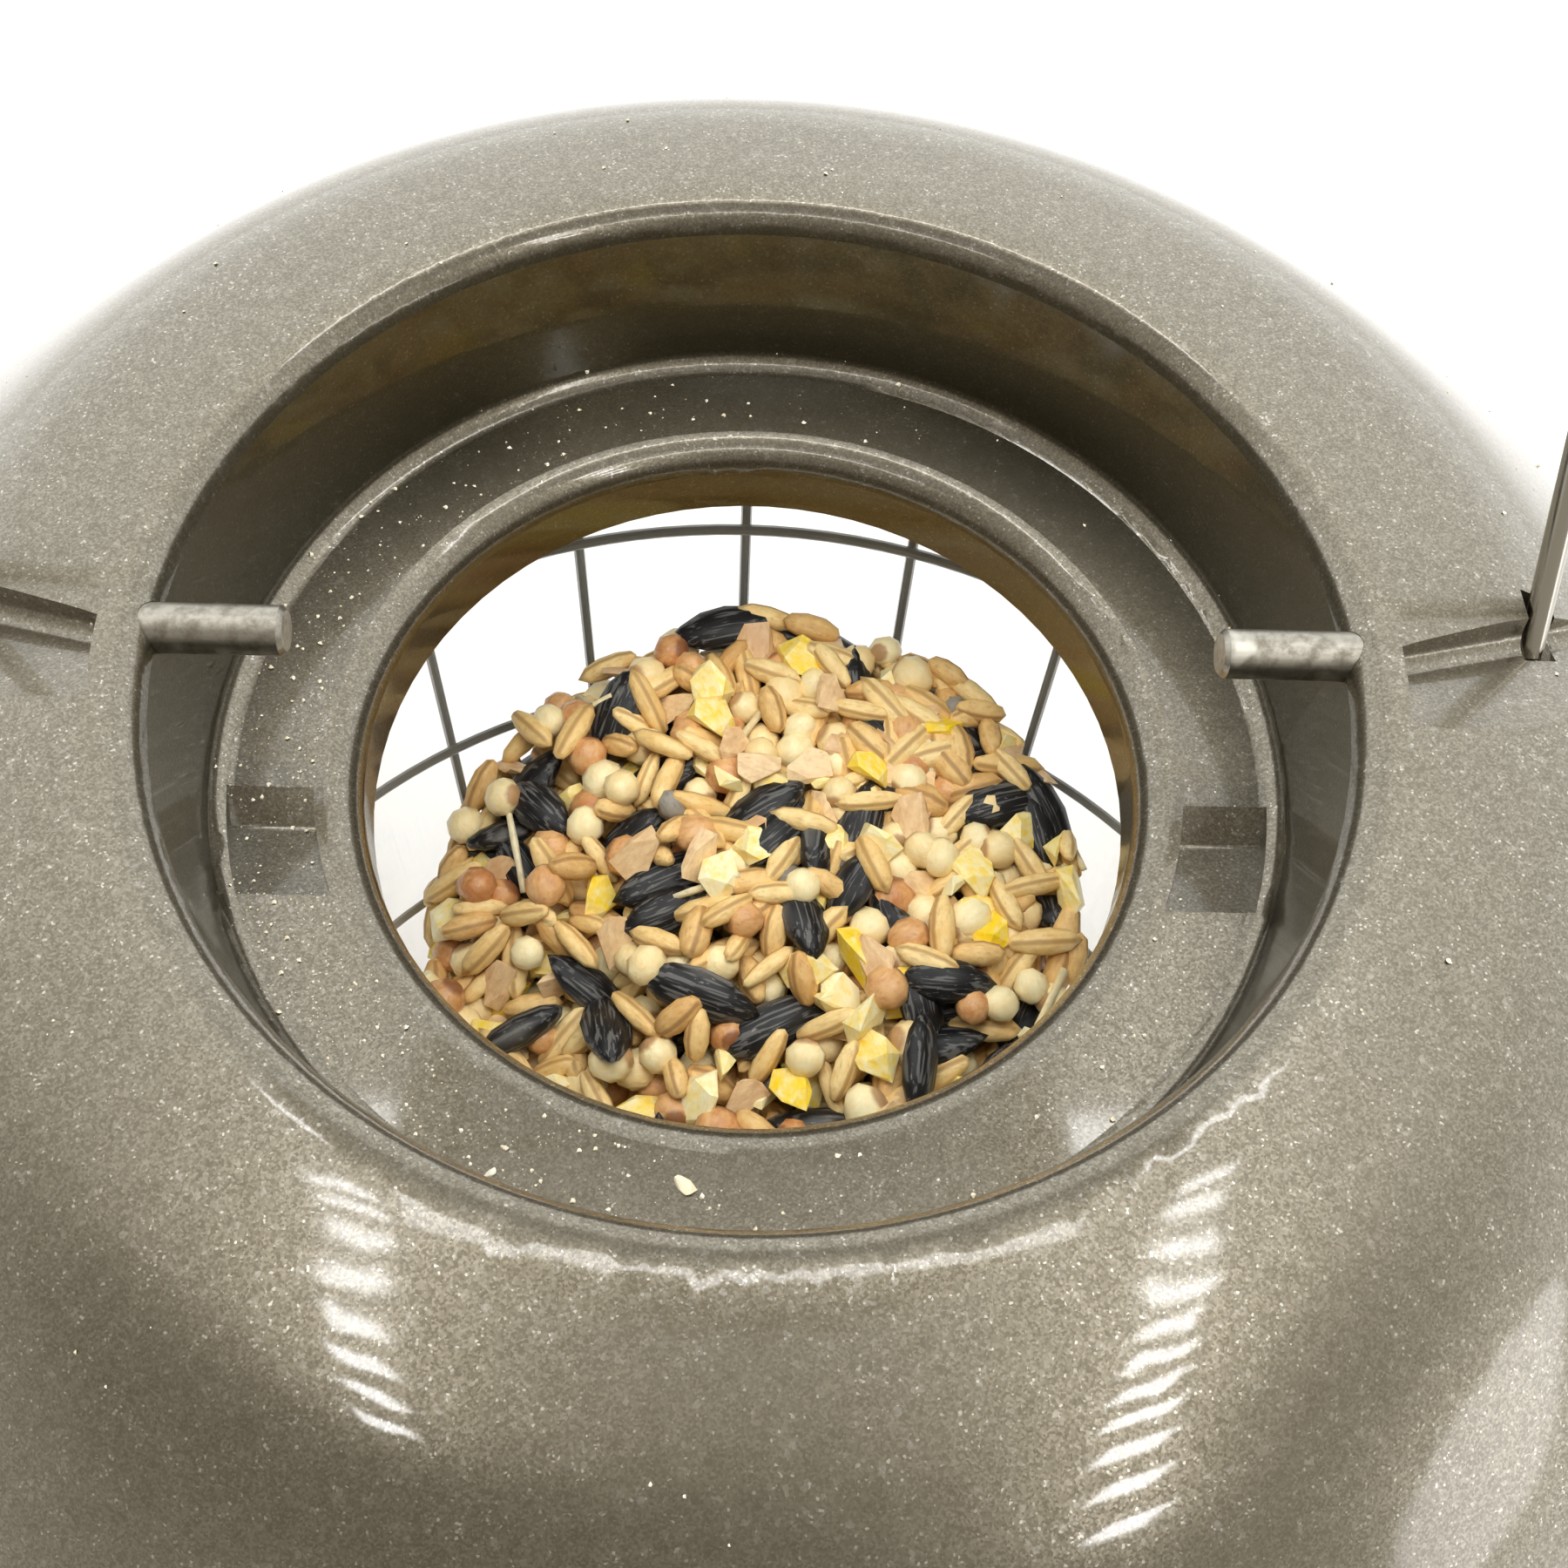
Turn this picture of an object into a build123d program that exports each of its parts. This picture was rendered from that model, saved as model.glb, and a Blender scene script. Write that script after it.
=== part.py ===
"""Caged, squirrel-proof seed feeder: a moulded dome roof with a filling well, a twist-lock lid,
a clear seed tube, a welded wire cage and a seed tray.

The origin is the centre of the tray's foot ring, on the surface that the feeder stands on.
+Z is up, and the lid pins and the bail's feet lie along X.
"""
import math
import os

from build123d import *

# Driving dimensions, in millimetres and degrees

# Filling well, measured from the crease under its rim
well_radius = 55.0
well_draft = 1.3
well_depth = 18.0
well_foot_fillet = 2.2
rim_roll = 3.3
rim_crest_height = 3.1
ledge_width = 14.1
bore_depth = 27.2
bore_lip_fillet = 3.4

# Dome roof
roof_radius = 125.0
roof_drop = 63.9
roof_skirt = 4.0
roof_wall = 3.0
collar_wall = 2.8
lip_wall = 1.6
roof_rib_count = 8
roof_rib_thickness = 2.0
roof_rib_foot_drop = 50.0

# Recess where each foot of the bail enters the roof
recess_margin = 1.1
recess_corner_y = -1.5
recess_corner_drop = 2.4
recess_turn = 19.0
recess_fall = 10.0
recess_rise = 13.8
recess_length = 26.0
recess_width = 28.0
recess_corner_fillet = 1.6

# Cam ramps in the ledge, one beside each lid pin
ramp_margin = 1.0
ramp_width = 8.4
ramp_start = 6.0
ramp_fall_length = 3.6
ramp_rise_length = 8.4
ramp_depth = 2.1
ramp_foot_fillet = 0.7

# Lid pins
pin_radius = 2.35
pin_reach = 11.7
pin_root = 3.2
pin_chamfer = 0.45

# Bail
bail_wire_radius = 1.2
bail_foot_out = 15.36
bail_foot_y = 3.43
bail_leg = 98.0
bail_lean = 34.0
bail_tail = 10.4
bail_stop_radius = 2.5
bail_stop_length = 4.4
bail_hole_clearance = 0.4

# Seed tube
tube_wall = 2.0
tube_seal_thickness = 1.5
heap_edge_drop = 51.0
heap_crown = 6.0
port_radius = 13.0
lower_port_height = 66.0
upper_port_height = 168.0

# Wire cage
cage_inset = 17.0
cage_wire_radius = 1.0
cage_wire_count = 22
hoop_count = 6
hoop_pitch = 50.5
top_hoop_drop = 61.0
wire_top_rise = 22.0

# Cage clips and their screws
clip_count = 4
clip_angle = 45.0
clip_length = 17.0
clip_width = 10.0
clip_thickness = 2.6
post_radius = 4.4
screw_radius = 1.5
screw_head_radius = 3.2
screw_head_height = 2.2
screw_grip = 9.0

# Seed tray
tray_overhang = 17.0
tray_height = 24.0
tray_wall = 2.6
tray_floor_height = 8.0
tray_foot_inset = 8.0
tray_foot_width = 4.0
hub_margin = 6.5
hub_height = 20.0
hub_slope_run = 7.0
drain_count = 12
drain_length = 16.0
drain_width = 3.6
drain_ring_inset = 24.0

# Tube foot, baffle and the bolt that holds them to the tray
foot_wall = 2.8
foot_floor = 3.0
foot_height = 15.0
baffle_height = 24.0
baffle_wall = 1.8
bolt_radius = 4.0
bolt_head_radius = 6.5
bolt_head_height = 3.6
nut_radius = 7.5
nut_height = 7.0
nut_wing_span = 36.0
nut_wing_thickness = 3.0
nut_wing_height = 9.0
bolt_tip_height = 5.0

# Feeding ports and perches
port_flange_radius = 19.0
port_flange_reach = 4.2
port_sleeve_wall = 1.6
port_sleeve_depth = 9.0
hood_reach = 11.0
hood_thickness = 1.8
perch_radius = 3.0
perch_length = 38.0
perch_drop = 15.5
perch_boss_wall = 2.2
perch_knob_radius = 4.4
perch_knob_length = 3.4

# Lid
lid_lift = 124.0
lid_overhang = 7.0
lid_edge_thickness = 3.4
lid_crown_height = 11.0
lid_wall = 2.6
lid_rest_gap = 0.3
skirt_clearance = 1.1
skirt_wall = 2.6
skirt_length = 16.5
slot_turn = 25.0
slot_clearance = 0.4
hub_outer_radius = 8.5
stem_radius = 4.0
stem_clearance = 0.06
stem_screw_head_radius = 6.2
stem_screw_head_height = 2.4
stem_screw_length = 9.0
plate_inset = 2.5
plate_thickness = 2.6
plate_height = 5.0
seal_clearance = 0.8
seal_section = 4.6
grip_length = 76.0
grip_width = 15.0
grip_height = 11.5
grip_waist_share = 0.62
grip_screw_spacing = 50.0
grip_screw_length = 9.0

# Clearances
body_gap = 0.3
weld_gap = 0.05

os.makedirs("parts", exist_ok=True)


def finish(builder, name):
    """Label a finished piece and write its file."""
    builder.part.label = name
    export_step(builder.part, f"parts/{name}.step")


def radial_plane(angle, height=0.0):
    """An upright plane through the Z axis: local x runs outwards at the angle, local y is up."""
    turn = math.radians(angle)
    return Plane(
        origin=(0, 0, height),
        x_dir=(math.cos(turn), math.sin(turn), 0),
        z_dir=(math.sin(turn), -math.cos(turn), 0),
    )


def facing_plane(angle, distance, height=0.0):
    """An upright plane that faces outwards at the angle: local x is sideways, local y is up."""
    turn = math.radians(angle)
    return Plane(
        origin=(distance * math.cos(turn), distance * math.sin(turn), height),
        x_dir=(-math.sin(turn), math.cos(turn), 0),
        z_dir=(math.cos(turn), math.sin(turn), 0),
    )


# Radii worked out from the roof and from its well
well_foot_radius = well_radius - well_draft
rim_crest_radius = well_radius + rim_roll
bore_radius = well_foot_radius - ledge_width
lip_outer_radius = bore_radius + lip_wall
tube_inner_radius = lip_outer_radius + body_gap
recess_inner_radius = rim_crest_radius + recess_margin
bail_foot_x = recess_inner_radius + bail_foot_out
ramp_inner_radius = bore_radius + bore_lip_fillet + ramp_margin
cage_radius = roof_radius - cage_inset
tray_radius = cage_radius + tray_overhang
tray_foot_radius = tray_radius - tray_foot_inset
drain_ring_radius = cage_radius - drain_ring_inset
lid_radius = well_radius + lid_overhang
skirt_outer_radius = well_foot_radius - skirt_clearance
seal_radius = well_radius - pin_reach - seal_clearance
plate_radius = seal_radius - plate_inset

# Heights worked out from the floor up
hoop_radius = cage_radius - 2 * cage_wire_radius - weld_gap
bottom_hoop_height = tray_floor_height + cage_wire_radius + weld_gap
top_hoop_height = bottom_hoop_height + hoop_pitch * (hoop_count - 1)
rim_height = top_hoop_height + top_hoop_drop
ledge_height = rim_height - well_depth
bore_foot_height = rim_height - bore_depth
roof_edge_height = rim_height + rim_crest_height - roof_drop
tube_outer_radius = tube_inner_radius + tube_wall
hub_radius = tube_outer_radius + hub_margin
tube_top_height = ledge_height - roof_wall - tube_seal_thickness
tube_foot_height = hub_height + foot_floor
collar_inner_radius = tube_outer_radius + body_gap
collar_outer_radius = collar_inner_radius + collar_wall
heap_edge_height = rim_height - heap_edge_drop
post_ring_radius = hoop_radius - cage_wire_radius - body_gap - post_radius
seat_rib_outer_radius = hoop_radius - cage_wire_radius - body_gap
port_places = [
    (0, lower_port_height),
    (180, lower_port_height),
    (90, upper_port_height),
    (270, upper_port_height),
]

# The roof's outline from the rim's crest to its edge, as shares of the overhang and of the drop
roof_shares = [
    (0.115, 0.010),
    (0.235, 0.031),
    (0.355, 0.092),
    (0.475, 0.189),
    (0.625, 0.325),
    (0.775, 0.494),
    (0.895, 0.677),
    (0.963, 0.832),
]


def roof_points(inset):
    """Points of the roof's outline, moved inwards by the inset."""
    overhang = roof_radius - rim_crest_radius
    crest = rim_height + rim_crest_height
    points = [(rim_crest_radius, crest - inset)]
    for out_share, down_share in roof_shares:
        out = out_share * (overhang - inset)
        down = down_share * (roof_drop - inset)
        points.append((rim_crest_radius + out, crest - inset - down))
    points.append((roof_radius - inset, crest - roof_drop))
    return points


def roof_curve(inset):
    """The roof's outline as one smooth curve: level at the crest and upright at the edge."""
    return Spline(*roof_points(inset), tangents=[(1, 0), (0, -1)])


def bail_recess(side):
    """The block that cuts one bail recess: its floor falls outwards and rises towards -Y."""
    turn = math.radians(recess_turn)
    fall = math.tan(math.radians(recess_fall))
    rise = math.tan(math.radians(recess_rise))
    along = Vector(side * math.cos(turn), math.sin(turn), -fall)
    across = Vector(side * math.sin(turn), -math.cos(turn), rise)
    normal = across.cross(along) if side > 0 else along.cross(across)
    corner = (side * recess_inner_radius, recess_corner_y, rim_height + rim_crest_height - recess_corner_drop)
    floor_plane = Plane(origin=corner, x_dir=along, z_dir=normal)
    with BuildPart() as cutter:
        with BuildSketch(floor_plane):
            with Locations((recess_length / 2, -side * recess_width / 2)):
                Rectangle(2 * recess_length, recess_width)
        extrude(amount=roof_drop / 4)
        far_edges = cutter.faces().sort_by(Axis.Y)[-1].edges().filter_by(GeomType.LINE)
        floor_edge = far_edges.sort_by(Axis.Z)[0]
        fillet(floor_edge, radius=recess_corner_fillet)
        Cylinder(recess_inner_radius, 3 * rim_height, mode=Mode.SUBTRACT)
    return cutter.part, floor_plane


def ledge_ramps():
    """The block that cuts both ledge ramps: down a short slope and up a longer one towards -Y."""
    with BuildPart() as cutter:
        with BuildSketch(Plane.YZ):
            with BuildLine():
                Polyline(
                    (-ramp_start, ledge_height + ramp_depth),
                    (-ramp_start, ledge_height),
                    (-ramp_start - ramp_fall_length, ledge_height - ramp_depth),
                    (-ramp_start - ramp_fall_length - ramp_rise_length, ledge_height),
                    (-ramp_start - ramp_fall_length - ramp_rise_length, ledge_height + ramp_depth),
                    close=True,
                )
            make_face()
            fillet(vertices().sort_by(Axis.Y)[0], radius=ramp_foot_fillet)
        extrude(amount=well_radius, both=True)
        Cylinder(ramp_inner_radius + ramp_width, 3 * rim_height, mode=Mode.INTERSECT)
        Cylinder(ramp_inner_radius, 3 * rim_height, mode=Mode.SUBTRACT)
    return cutter.part


# The bail turns about an axis along X, at the height of the recess floor round its feet
right_recess, right_floor_plane = bail_recess(1)
left_recess, left_floor_plane = bail_recess(-1)
bail_foot_point = Vector(bail_foot_x, bail_foot_y, 0)
floor_normal = right_floor_plane.z_dir
bail_axis_height = floor_normal.dot(right_floor_plane.origin - bail_foot_point) / floor_normal.Z
lean = math.radians(bail_lean)
swing_rise = bail_tail * math.sin(lean)
swing_height = bail_tail * math.cos(lean)
bail_hole_radius = bail_wire_radius / math.cos(lean) + bail_hole_clearance
bail_hole_depth = roof_wall * 3 / 2
bail_hole_flare = bail_hole_radius + bail_hole_depth * math.tan(lean)

# Roof: one moulding with the filling well, the tube collar, ribs, cage seat and screw posts
with BuildPart() as roof_envelope:
    with BuildSketch(Plane.XZ):
        with BuildLine():
            outline = roof_curve(roof_wall / 2)
            Line(outline @ 1, (0, (outline @ 1).Y))
            Line((0, (outline @ 1).Y), (0, (outline @ 0).Y))
            Line((0, (outline @ 0).Y), outline @ 0)
        make_face()
    revolve(axis=Axis.Z)

with BuildPart() as roof_ribs:
    for index in range(roof_rib_count):
        angle = (index + 0.5) * 360 / roof_rib_count
        with BuildSketch(radial_plane(angle)):
            with BuildLine():
                Polyline(
                    (well_foot_radius + roof_wall / 2, ledge_height - roof_wall),
                    (seat_rib_outer_radius - roof_rib_thickness / 2, rim_height - roof_rib_foot_drop),
                    (seat_rib_outer_radius - roof_rib_thickness / 2, rim_height + rim_crest_height),
                    (well_foot_radius + roof_wall / 2, rim_height + rim_crest_height),
                    close=True,
                )
            make_face()
        extrude(amount=roof_rib_thickness / 2, both=True)
    with BuildSketch(Plane.XY.offset(top_hoop_height)):
        Circle(seat_rib_outer_radius)
        Circle(seat_rib_outer_radius - roof_rib_thickness, mode=Mode.SUBTRACT)
    extrude(amount=top_hoop_drop)
    with BuildSketch(Plane.XY.offset(top_hoop_height - cage_wire_radius)):
        with PolarLocations(post_ring_radius, clip_count, start_angle=clip_angle):
            Circle(post_radius)
    extrude(amount=top_hoop_drop)
    for floor_plane, side in ((right_floor_plane, 1), (left_floor_plane, -1)):
        with BuildSketch(floor_plane.offset(-roof_wall)):
            with Locations((recess_length / 4, -side * recess_width / 4)):
                Rectangle(recess_length, recess_width / 2 + 2 * roof_wall)
        extrude(amount=4 * roof_wall)
    add(roof_envelope.part, mode=Mode.INTERSECT)
    Cylinder(well_radius + roof_wall / 2, 3 * rim_height, mode=Mode.SUBTRACT)

with BuildPart() as dome_roof:
    with BuildSketch(Plane.XZ):
        with BuildLine():
            outer = roof_curve(0)
            Line(outer @ 1, (roof_radius, roof_edge_height - roof_skirt))
            Line((roof_radius, roof_edge_height - roof_skirt), (roof_radius - roof_wall, roof_edge_height - roof_skirt))
            Line((roof_radius - roof_wall, roof_edge_height - roof_skirt), (roof_radius - roof_wall, roof_edge_height))
            inner = roof_curve(roof_wall)
            Line(inner @ 0, (well_foot_radius + roof_wall, ledge_height - roof_wall))
            Polyline(
                (well_foot_radius + roof_wall, ledge_height - roof_wall),
                (collar_outer_radius, ledge_height - roof_wall),
                (collar_outer_radius, bore_foot_height),
                (collar_inner_radius, bore_foot_height),
                (collar_inner_radius, ledge_height - roof_wall),
                (lip_outer_radius, ledge_height - roof_wall),
                (lip_outer_radius, bore_foot_height),
                (bore_radius, bore_foot_height),
                (bore_radius, ledge_height - bore_lip_fillet),
            )
            RadiusArc(
                (bore_radius, ledge_height - bore_lip_fillet),
                (bore_radius + bore_lip_fillet, ledge_height),
                bore_lip_fillet,
            )
            Line((bore_radius + bore_lip_fillet, ledge_height), (well_foot_radius, ledge_height))
            Line((well_foot_radius, ledge_height), (well_radius, rim_height))
            Bezier(
                (well_radius, rim_height),
                (well_radius + rim_crest_height / 8, rim_height + rim_crest_height * 3 / 4),
                (rim_crest_radius - rim_crest_height / 2, rim_height + rim_crest_height),
                (rim_crest_radius, rim_height + rim_crest_height),
            )
        make_face()
        foot_corner = vertices().filter_by_position(Axis.X, well_foot_radius, well_foot_radius)
        fillet(foot_corner.sort_by(Axis.Z)[0], radius=well_foot_fillet)
    revolve(axis=Axis.Z)
    add(roof_ribs.part)
    add(right_recess, mode=Mode.SUBTRACT)
    add(left_recess, mode=Mode.SUBTRACT)
    add(ledge_ramps(), mode=Mode.SUBTRACT)
    for side in (1, -1):
        with Locations((side * bail_foot_x, bail_foot_y, bail_axis_height - bail_hole_depth / 2)):
            Cone(bail_hole_flare, bail_hole_radius, bail_hole_depth, mode=Mode.SUBTRACT)
        with BuildSketch(Plane.YZ.offset(side * bail_foot_x)):
            with Locations((bail_foot_y, bail_axis_height)):
                Polygon((0, 0), (swing_rise, swing_height), (-swing_rise, swing_height), align=None)
            offset(amount=bail_wire_radius + bail_hole_clearance)
        extrude(amount=bail_wire_radius + bail_hole_clearance, both=True, mode=Mode.SUBTRACT)
        with BuildSketch(facing_plane(90 - 90 * side, well_foot_radius, rim_height)):
            Circle(pin_radius + weld_gap)
        extrude(amount=well_radius - well_foot_radius + pin_root + weld_gap, mode=Mode.SUBTRACT)
    with PolarLocations(post_ring_radius, clip_count, start_angle=clip_angle):
        with Locations((0, 0, top_hoop_height - cage_wire_radius + screw_grip / 2)):
            Cylinder(screw_radius, screw_grip, mode=Mode.SUBTRACT)
finish(dome_roof, "dome_roof")

# Lid pins: straight steel pins pressed into the well's wall, with chamfered ends
for side, name in ((-1, "lid_pin_left"), (1, "lid_pin_right")):
    with BuildPart() as lid_pin:
        with BuildSketch(facing_plane(90 - 90 * side, well_radius - pin_reach, rim_height)):
            Circle(pin_radius)
        extrude(amount=pin_reach + pin_root)
        ends = lid_pin.edges().filter_by(GeomType.CIRCLE)
        chamfer(ends, length=pin_chamfer)
    finish(lid_pin, name)

# Bail: one wire with two upright legs and a half-round top, drawn upright and then leaned back
bail_foot_height = bail_axis_height - bail_tail
bail_shoulder_height = bail_axis_height + bail_leg
bail_lean_axis = Axis((0, bail_foot_y, bail_axis_height), (1, 0, 0))
with BuildPart() as bail_upright:
    with BuildLine() as bail_path:
        left_leg = Line(
            (-bail_foot_x, bail_foot_y, bail_foot_height),
            (-bail_foot_x, bail_foot_y, bail_shoulder_height),
        )
        ThreePointArc(
            left_leg @ 1,
            (0, bail_foot_y, bail_shoulder_height + bail_foot_x),
            (bail_foot_x, bail_foot_y, bail_shoulder_height),
        )
        Line(
            (bail_foot_x, bail_foot_y, bail_shoulder_height),
            (bail_foot_x, bail_foot_y, bail_foot_height),
        )
    with BuildSketch(Plane(origin=left_leg @ 0, z_dir=(0, 0, 1))):
        Circle(bail_wire_radius)
    sweep()
with BuildPart() as bail:
    add(bail_upright.part.rotate(bail_lean_axis, -bail_lean))
finish(bail, "bail")

# Collars pressed on the bail's tails, which stop it pulling out of the roof
with BuildPart() as stops_upright:
    with BuildSketch(Plane.XY.offset(bail_foot_height)):
        with Locations((-bail_foot_x, bail_foot_y), (bail_foot_x, bail_foot_y)):
            Circle(bail_stop_radius)
            Circle(bail_wire_radius, mode=Mode.SUBTRACT)
    extrude(amount=bail_stop_length)
    rims = stops_upright.edges().filter_by(GeomType.CIRCLE).filter_by(
        lambda edge: edge.radius > bail_wire_radius
    )
    chamfer(rims, length=bail_wire_radius / 4)
with BuildPart() as bail_stops:
    add(stops_upright.part.rotate(bail_lean_axis, -bail_lean))
finish(bail_stops, "bail_stops")

# Seed tube: clear, with a round hole for each port
with BuildPart() as seed_tube:
    with BuildSketch(Plane.XY.offset(tube_foot_height)):
        Circle(tube_outer_radius)
        Circle(tube_inner_radius, mode=Mode.SUBTRACT)
    extrude(amount=tube_top_height - tube_foot_height)
    for angle, height in port_places:
        with BuildSketch(facing_plane(angle, 0, height)):
            Circle(port_radius)
        extrude(amount=2 * tube_outer_radius, mode=Mode.SUBTRACT)
finish(seed_tube, "seed_tube")

# Gasket between the tube's top and the roof, in the groove outside the bore's lip
with BuildPart() as tube_gasket:
    with BuildSketch(Plane.XY.offset(tube_top_height)):
        Circle(tube_outer_radius)
        Circle(tube_inner_radius, mode=Mode.SUBTRACT)
    extrude(amount=tube_seal_thickness)
finish(tube_gasket, "tube_gasket")

# Cage: upright wires, and hoops welded inside them
wire_foot_height = tray_floor_height + weld_gap
wire_top_height = top_hoop_height + wire_top_rise
with BuildPart() as cage_wires:
    with BuildSketch(Plane.XY.offset(wire_foot_height)):
        with PolarLocations(cage_radius, cage_wire_count, start_angle=90):
            RegularPolygon(cage_wire_radius, 8)
    extrude(amount=wire_top_height - wire_foot_height)
finish(cage_wires, "cage_wires")

for index in range(hoop_count):
    with BuildPart() as cage_hoop:
        with BuildSketch(Plane.XZ):
            with Locations((hoop_radius, bottom_hoop_height + index * hoop_pitch)):
                RegularPolygon(cage_wire_radius, 8)
        revolve(axis=Axis.Z)
    finish(cage_hoop, f"cage_hoop_{index + 1}")

# Clips that hold the end hoops, with a hooked nose over the wire, and their screws
clip_inner_radius = post_ring_radius - post_radius
nose_radius = hoop_radius + cage_wire_radius + weld_gap


def cage_clip(seat_height, up):
    """A flat clip against a post's end, whose outer end carries the hoop; up is 1 or -1."""
    plate_foot = seat_height - clip_thickness if up > 0 else seat_height
    with BuildPart() as clip:
        with BuildSketch(Plane.XY.offset(plate_foot)):
            with Locations((clip_inner_radius + clip_length / 2, 0)):
                RectangleRounded(clip_length, clip_width, clip_width / 4)
            with Locations((post_ring_radius, 0)):
                Circle(screw_radius + weld_gap, mode=Mode.SUBTRACT)
        extrude(amount=clip_thickness)
        ring_edges = clip.faces().sort_by(Axis.Z)[0 if up > 0 else -1].outer_wire().edges()
        fillet(ring_edges, radius=clip_thickness / 4)
    return clip.part


def cage_screw(seat_height, up):
    """A pan-head screw through the clip into its post."""
    head_face = seat_height - up * clip_thickness
    with BuildPart() as screw:
        with BuildSketch(Plane.XY.offset(head_face)):
            with Locations((post_ring_radius, 0)):
                Circle(screw_radius)
        extrude(amount=up * (clip_thickness + screw_grip - body_gap))
        with BuildSketch(Plane.XY.offset(head_face)):
            with Locations((post_ring_radius, 0)):
                Circle(screw_head_radius)
        extrude(amount=-up * screw_head_height)
        head_rim = screw.edges().filter_by(GeomType.CIRCLE).sort_by(Axis.Z)[0 if up > 0 else -1]
        fillet(head_rim, radius=screw_head_height / 3)
    return screw.part


def four_around(piece):
    """Four copies of a piece, one at each post."""
    with BuildPart() as group:
        with PolarLocations(0, clip_count, start_angle=clip_angle):
            add(piece)
    return group


roof_seat_height = top_hoop_height - cage_wire_radius - weld_gap
tray_seat_height = bottom_hoop_height + cage_wire_radius + weld_gap
finish(four_around(cage_clip(roof_seat_height, 1)), "roof_clips")
finish(four_around(cage_screw(roof_seat_height, 1)), "roof_screws")
finish(four_around(cage_clip(tray_seat_height, -1)), "tray_clips")
finish(four_around(cage_screw(tray_seat_height, -1)), "tray_screws")

# Seed tray: a dish with a raised hub for the tube, a foot ring, drain slots and screw posts
tray_floor_radius = tray_foot_radius - tray_foot_width / 2
with BuildPart() as seed_tray:
    with BuildSketch(Plane.XZ):
        with BuildLine():
            Polyline(
                (0, hub_height),
                (hub_radius, hub_height),
                (hub_radius + hub_slope_run, tray_floor_height),
                (tray_floor_radius, tray_floor_height),
                (tray_radius - tray_wall, tray_height),
                (tray_radius, tray_height),
                (tray_foot_radius + tray_foot_width / 2, tray_floor_height - tray_wall),
                (tray_foot_radius, 0),
                (tray_foot_radius - tray_foot_width, 0),
                (tray_foot_radius - tray_foot_width, tray_floor_height - tray_wall),
                (hub_radius + hub_slope_run - tray_wall, tray_floor_height - tray_wall),
                (hub_radius - tray_wall, hub_height - tray_wall),
                (0, hub_height - tray_wall),
                close=True,
            )
        make_face()
        lip = vertices().group_by(Axis.Y)[-1]
        fillet(lip, radius=tray_wall / 3)
        corner = vertices().filter_by_position(Axis.X, hub_radius, hub_radius)
        fillet(corner, radius=tray_wall)
    revolve(axis=Axis.Z)
    with BuildSketch(Plane.XY):
        with PolarLocations(post_ring_radius, clip_count, start_angle=clip_angle):
            Circle(post_radius)
    extrude(until=Until.NEXT)
    with BuildSketch(Plane.XY.offset(tray_floor_height)):
        with PolarLocations(post_ring_radius, clip_count, start_angle=clip_angle):
            Circle(post_radius)
    extrude(amount=tray_seat_height - tray_floor_height)
    with PolarLocations(post_ring_radius, clip_count, start_angle=clip_angle):
        with Locations((0, 0, tray_seat_height - screw_grip / 2)):
            Cylinder(screw_radius, screw_grip, mode=Mode.SUBTRACT)
    with BuildSketch(Plane.XY):
        with PolarLocations(drain_ring_radius, drain_count, start_angle=180 / drain_count):
            SlotOverall(drain_length, drain_width)
        Circle(bolt_radius + body_gap)
    extrude(amount=hub_height, mode=Mode.SUBTRACT)
finish(seed_tray, "seed_tray")

# Tube foot: the cup that the tube stands in
foot_inner_radius = tube_outer_radius + body_gap
with BuildPart() as tube_foot:
    with BuildSketch(Plane.XY.offset(hub_height)):
        Circle(foot_inner_radius + foot_wall)
    extrude(amount=foot_height)
    with BuildSketch(Plane.XY.offset(tube_foot_height)):
        Circle(foot_inner_radius)
    extrude(amount=foot_height, mode=Mode.SUBTRACT)
    top_rim = tube_foot.faces().sort_by(Axis.Z)[-1].edges()
    fillet(top_rim, radius=foot_wall / 3)
    with Locations((0, 0, hub_height)):
        Cylinder(bolt_radius + body_gap, 3 * foot_floor, mode=Mode.SUBTRACT)
finish(tube_foot, "tube_foot")

# Baffle: a hollow cone that sends the last seed out to the ports
baffle_radius = tube_inner_radius - body_gap
with BuildPart() as seed_baffle:
    with BuildSketch(Plane.XZ):
        with BuildLine():
            Polyline(
                (baffle_radius, tube_foot_height),
                (baffle_radius, tube_foot_height + baffle_wall),
                (bolt_head_radius, tube_foot_height + baffle_height),
                (0, tube_foot_height + baffle_height),
                (0, tube_foot_height + baffle_height - baffle_wall),
                (bolt_head_radius, tube_foot_height + baffle_height - baffle_wall),
                (baffle_radius - 2 * baffle_wall, tube_foot_height),
                close=True,
            )
        make_face()
    revolve(axis=Axis.Z)
finish(seed_baffle, "seed_baffle")

# Bolt, washer and wing nut that clamp the tube foot to the tray
with BuildPart() as tray_bolt:
    with BuildSketch(Plane.XY.offset(tube_foot_height)):
        RegularPolygon(bolt_head_radius, 6)
    extrude(amount=bolt_head_height)
    with BuildSketch(Plane.XY.offset(bolt_tip_height)):
        Circle(bolt_radius)
    extrude(amount=tube_foot_height - bolt_tip_height)
    tip = tray_bolt.faces().sort_by(Axis.Z)[0].edges()
    chamfer(tip, length=bolt_radius / 5)
finish(tray_bolt, "tray_bolt")

washer_thickness = tray_wall / 2
washer_height = hub_height - tray_wall - washer_thickness
with BuildPart() as tray_washer:
    with BuildSketch(Plane.XY.offset(washer_height)):
        Circle(nut_radius + bolt_radius / 2)
        Circle(bolt_radius + body_gap, mode=Mode.SUBTRACT)
    extrude(amount=washer_thickness)
finish(tray_washer, "tray_washer")

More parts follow.
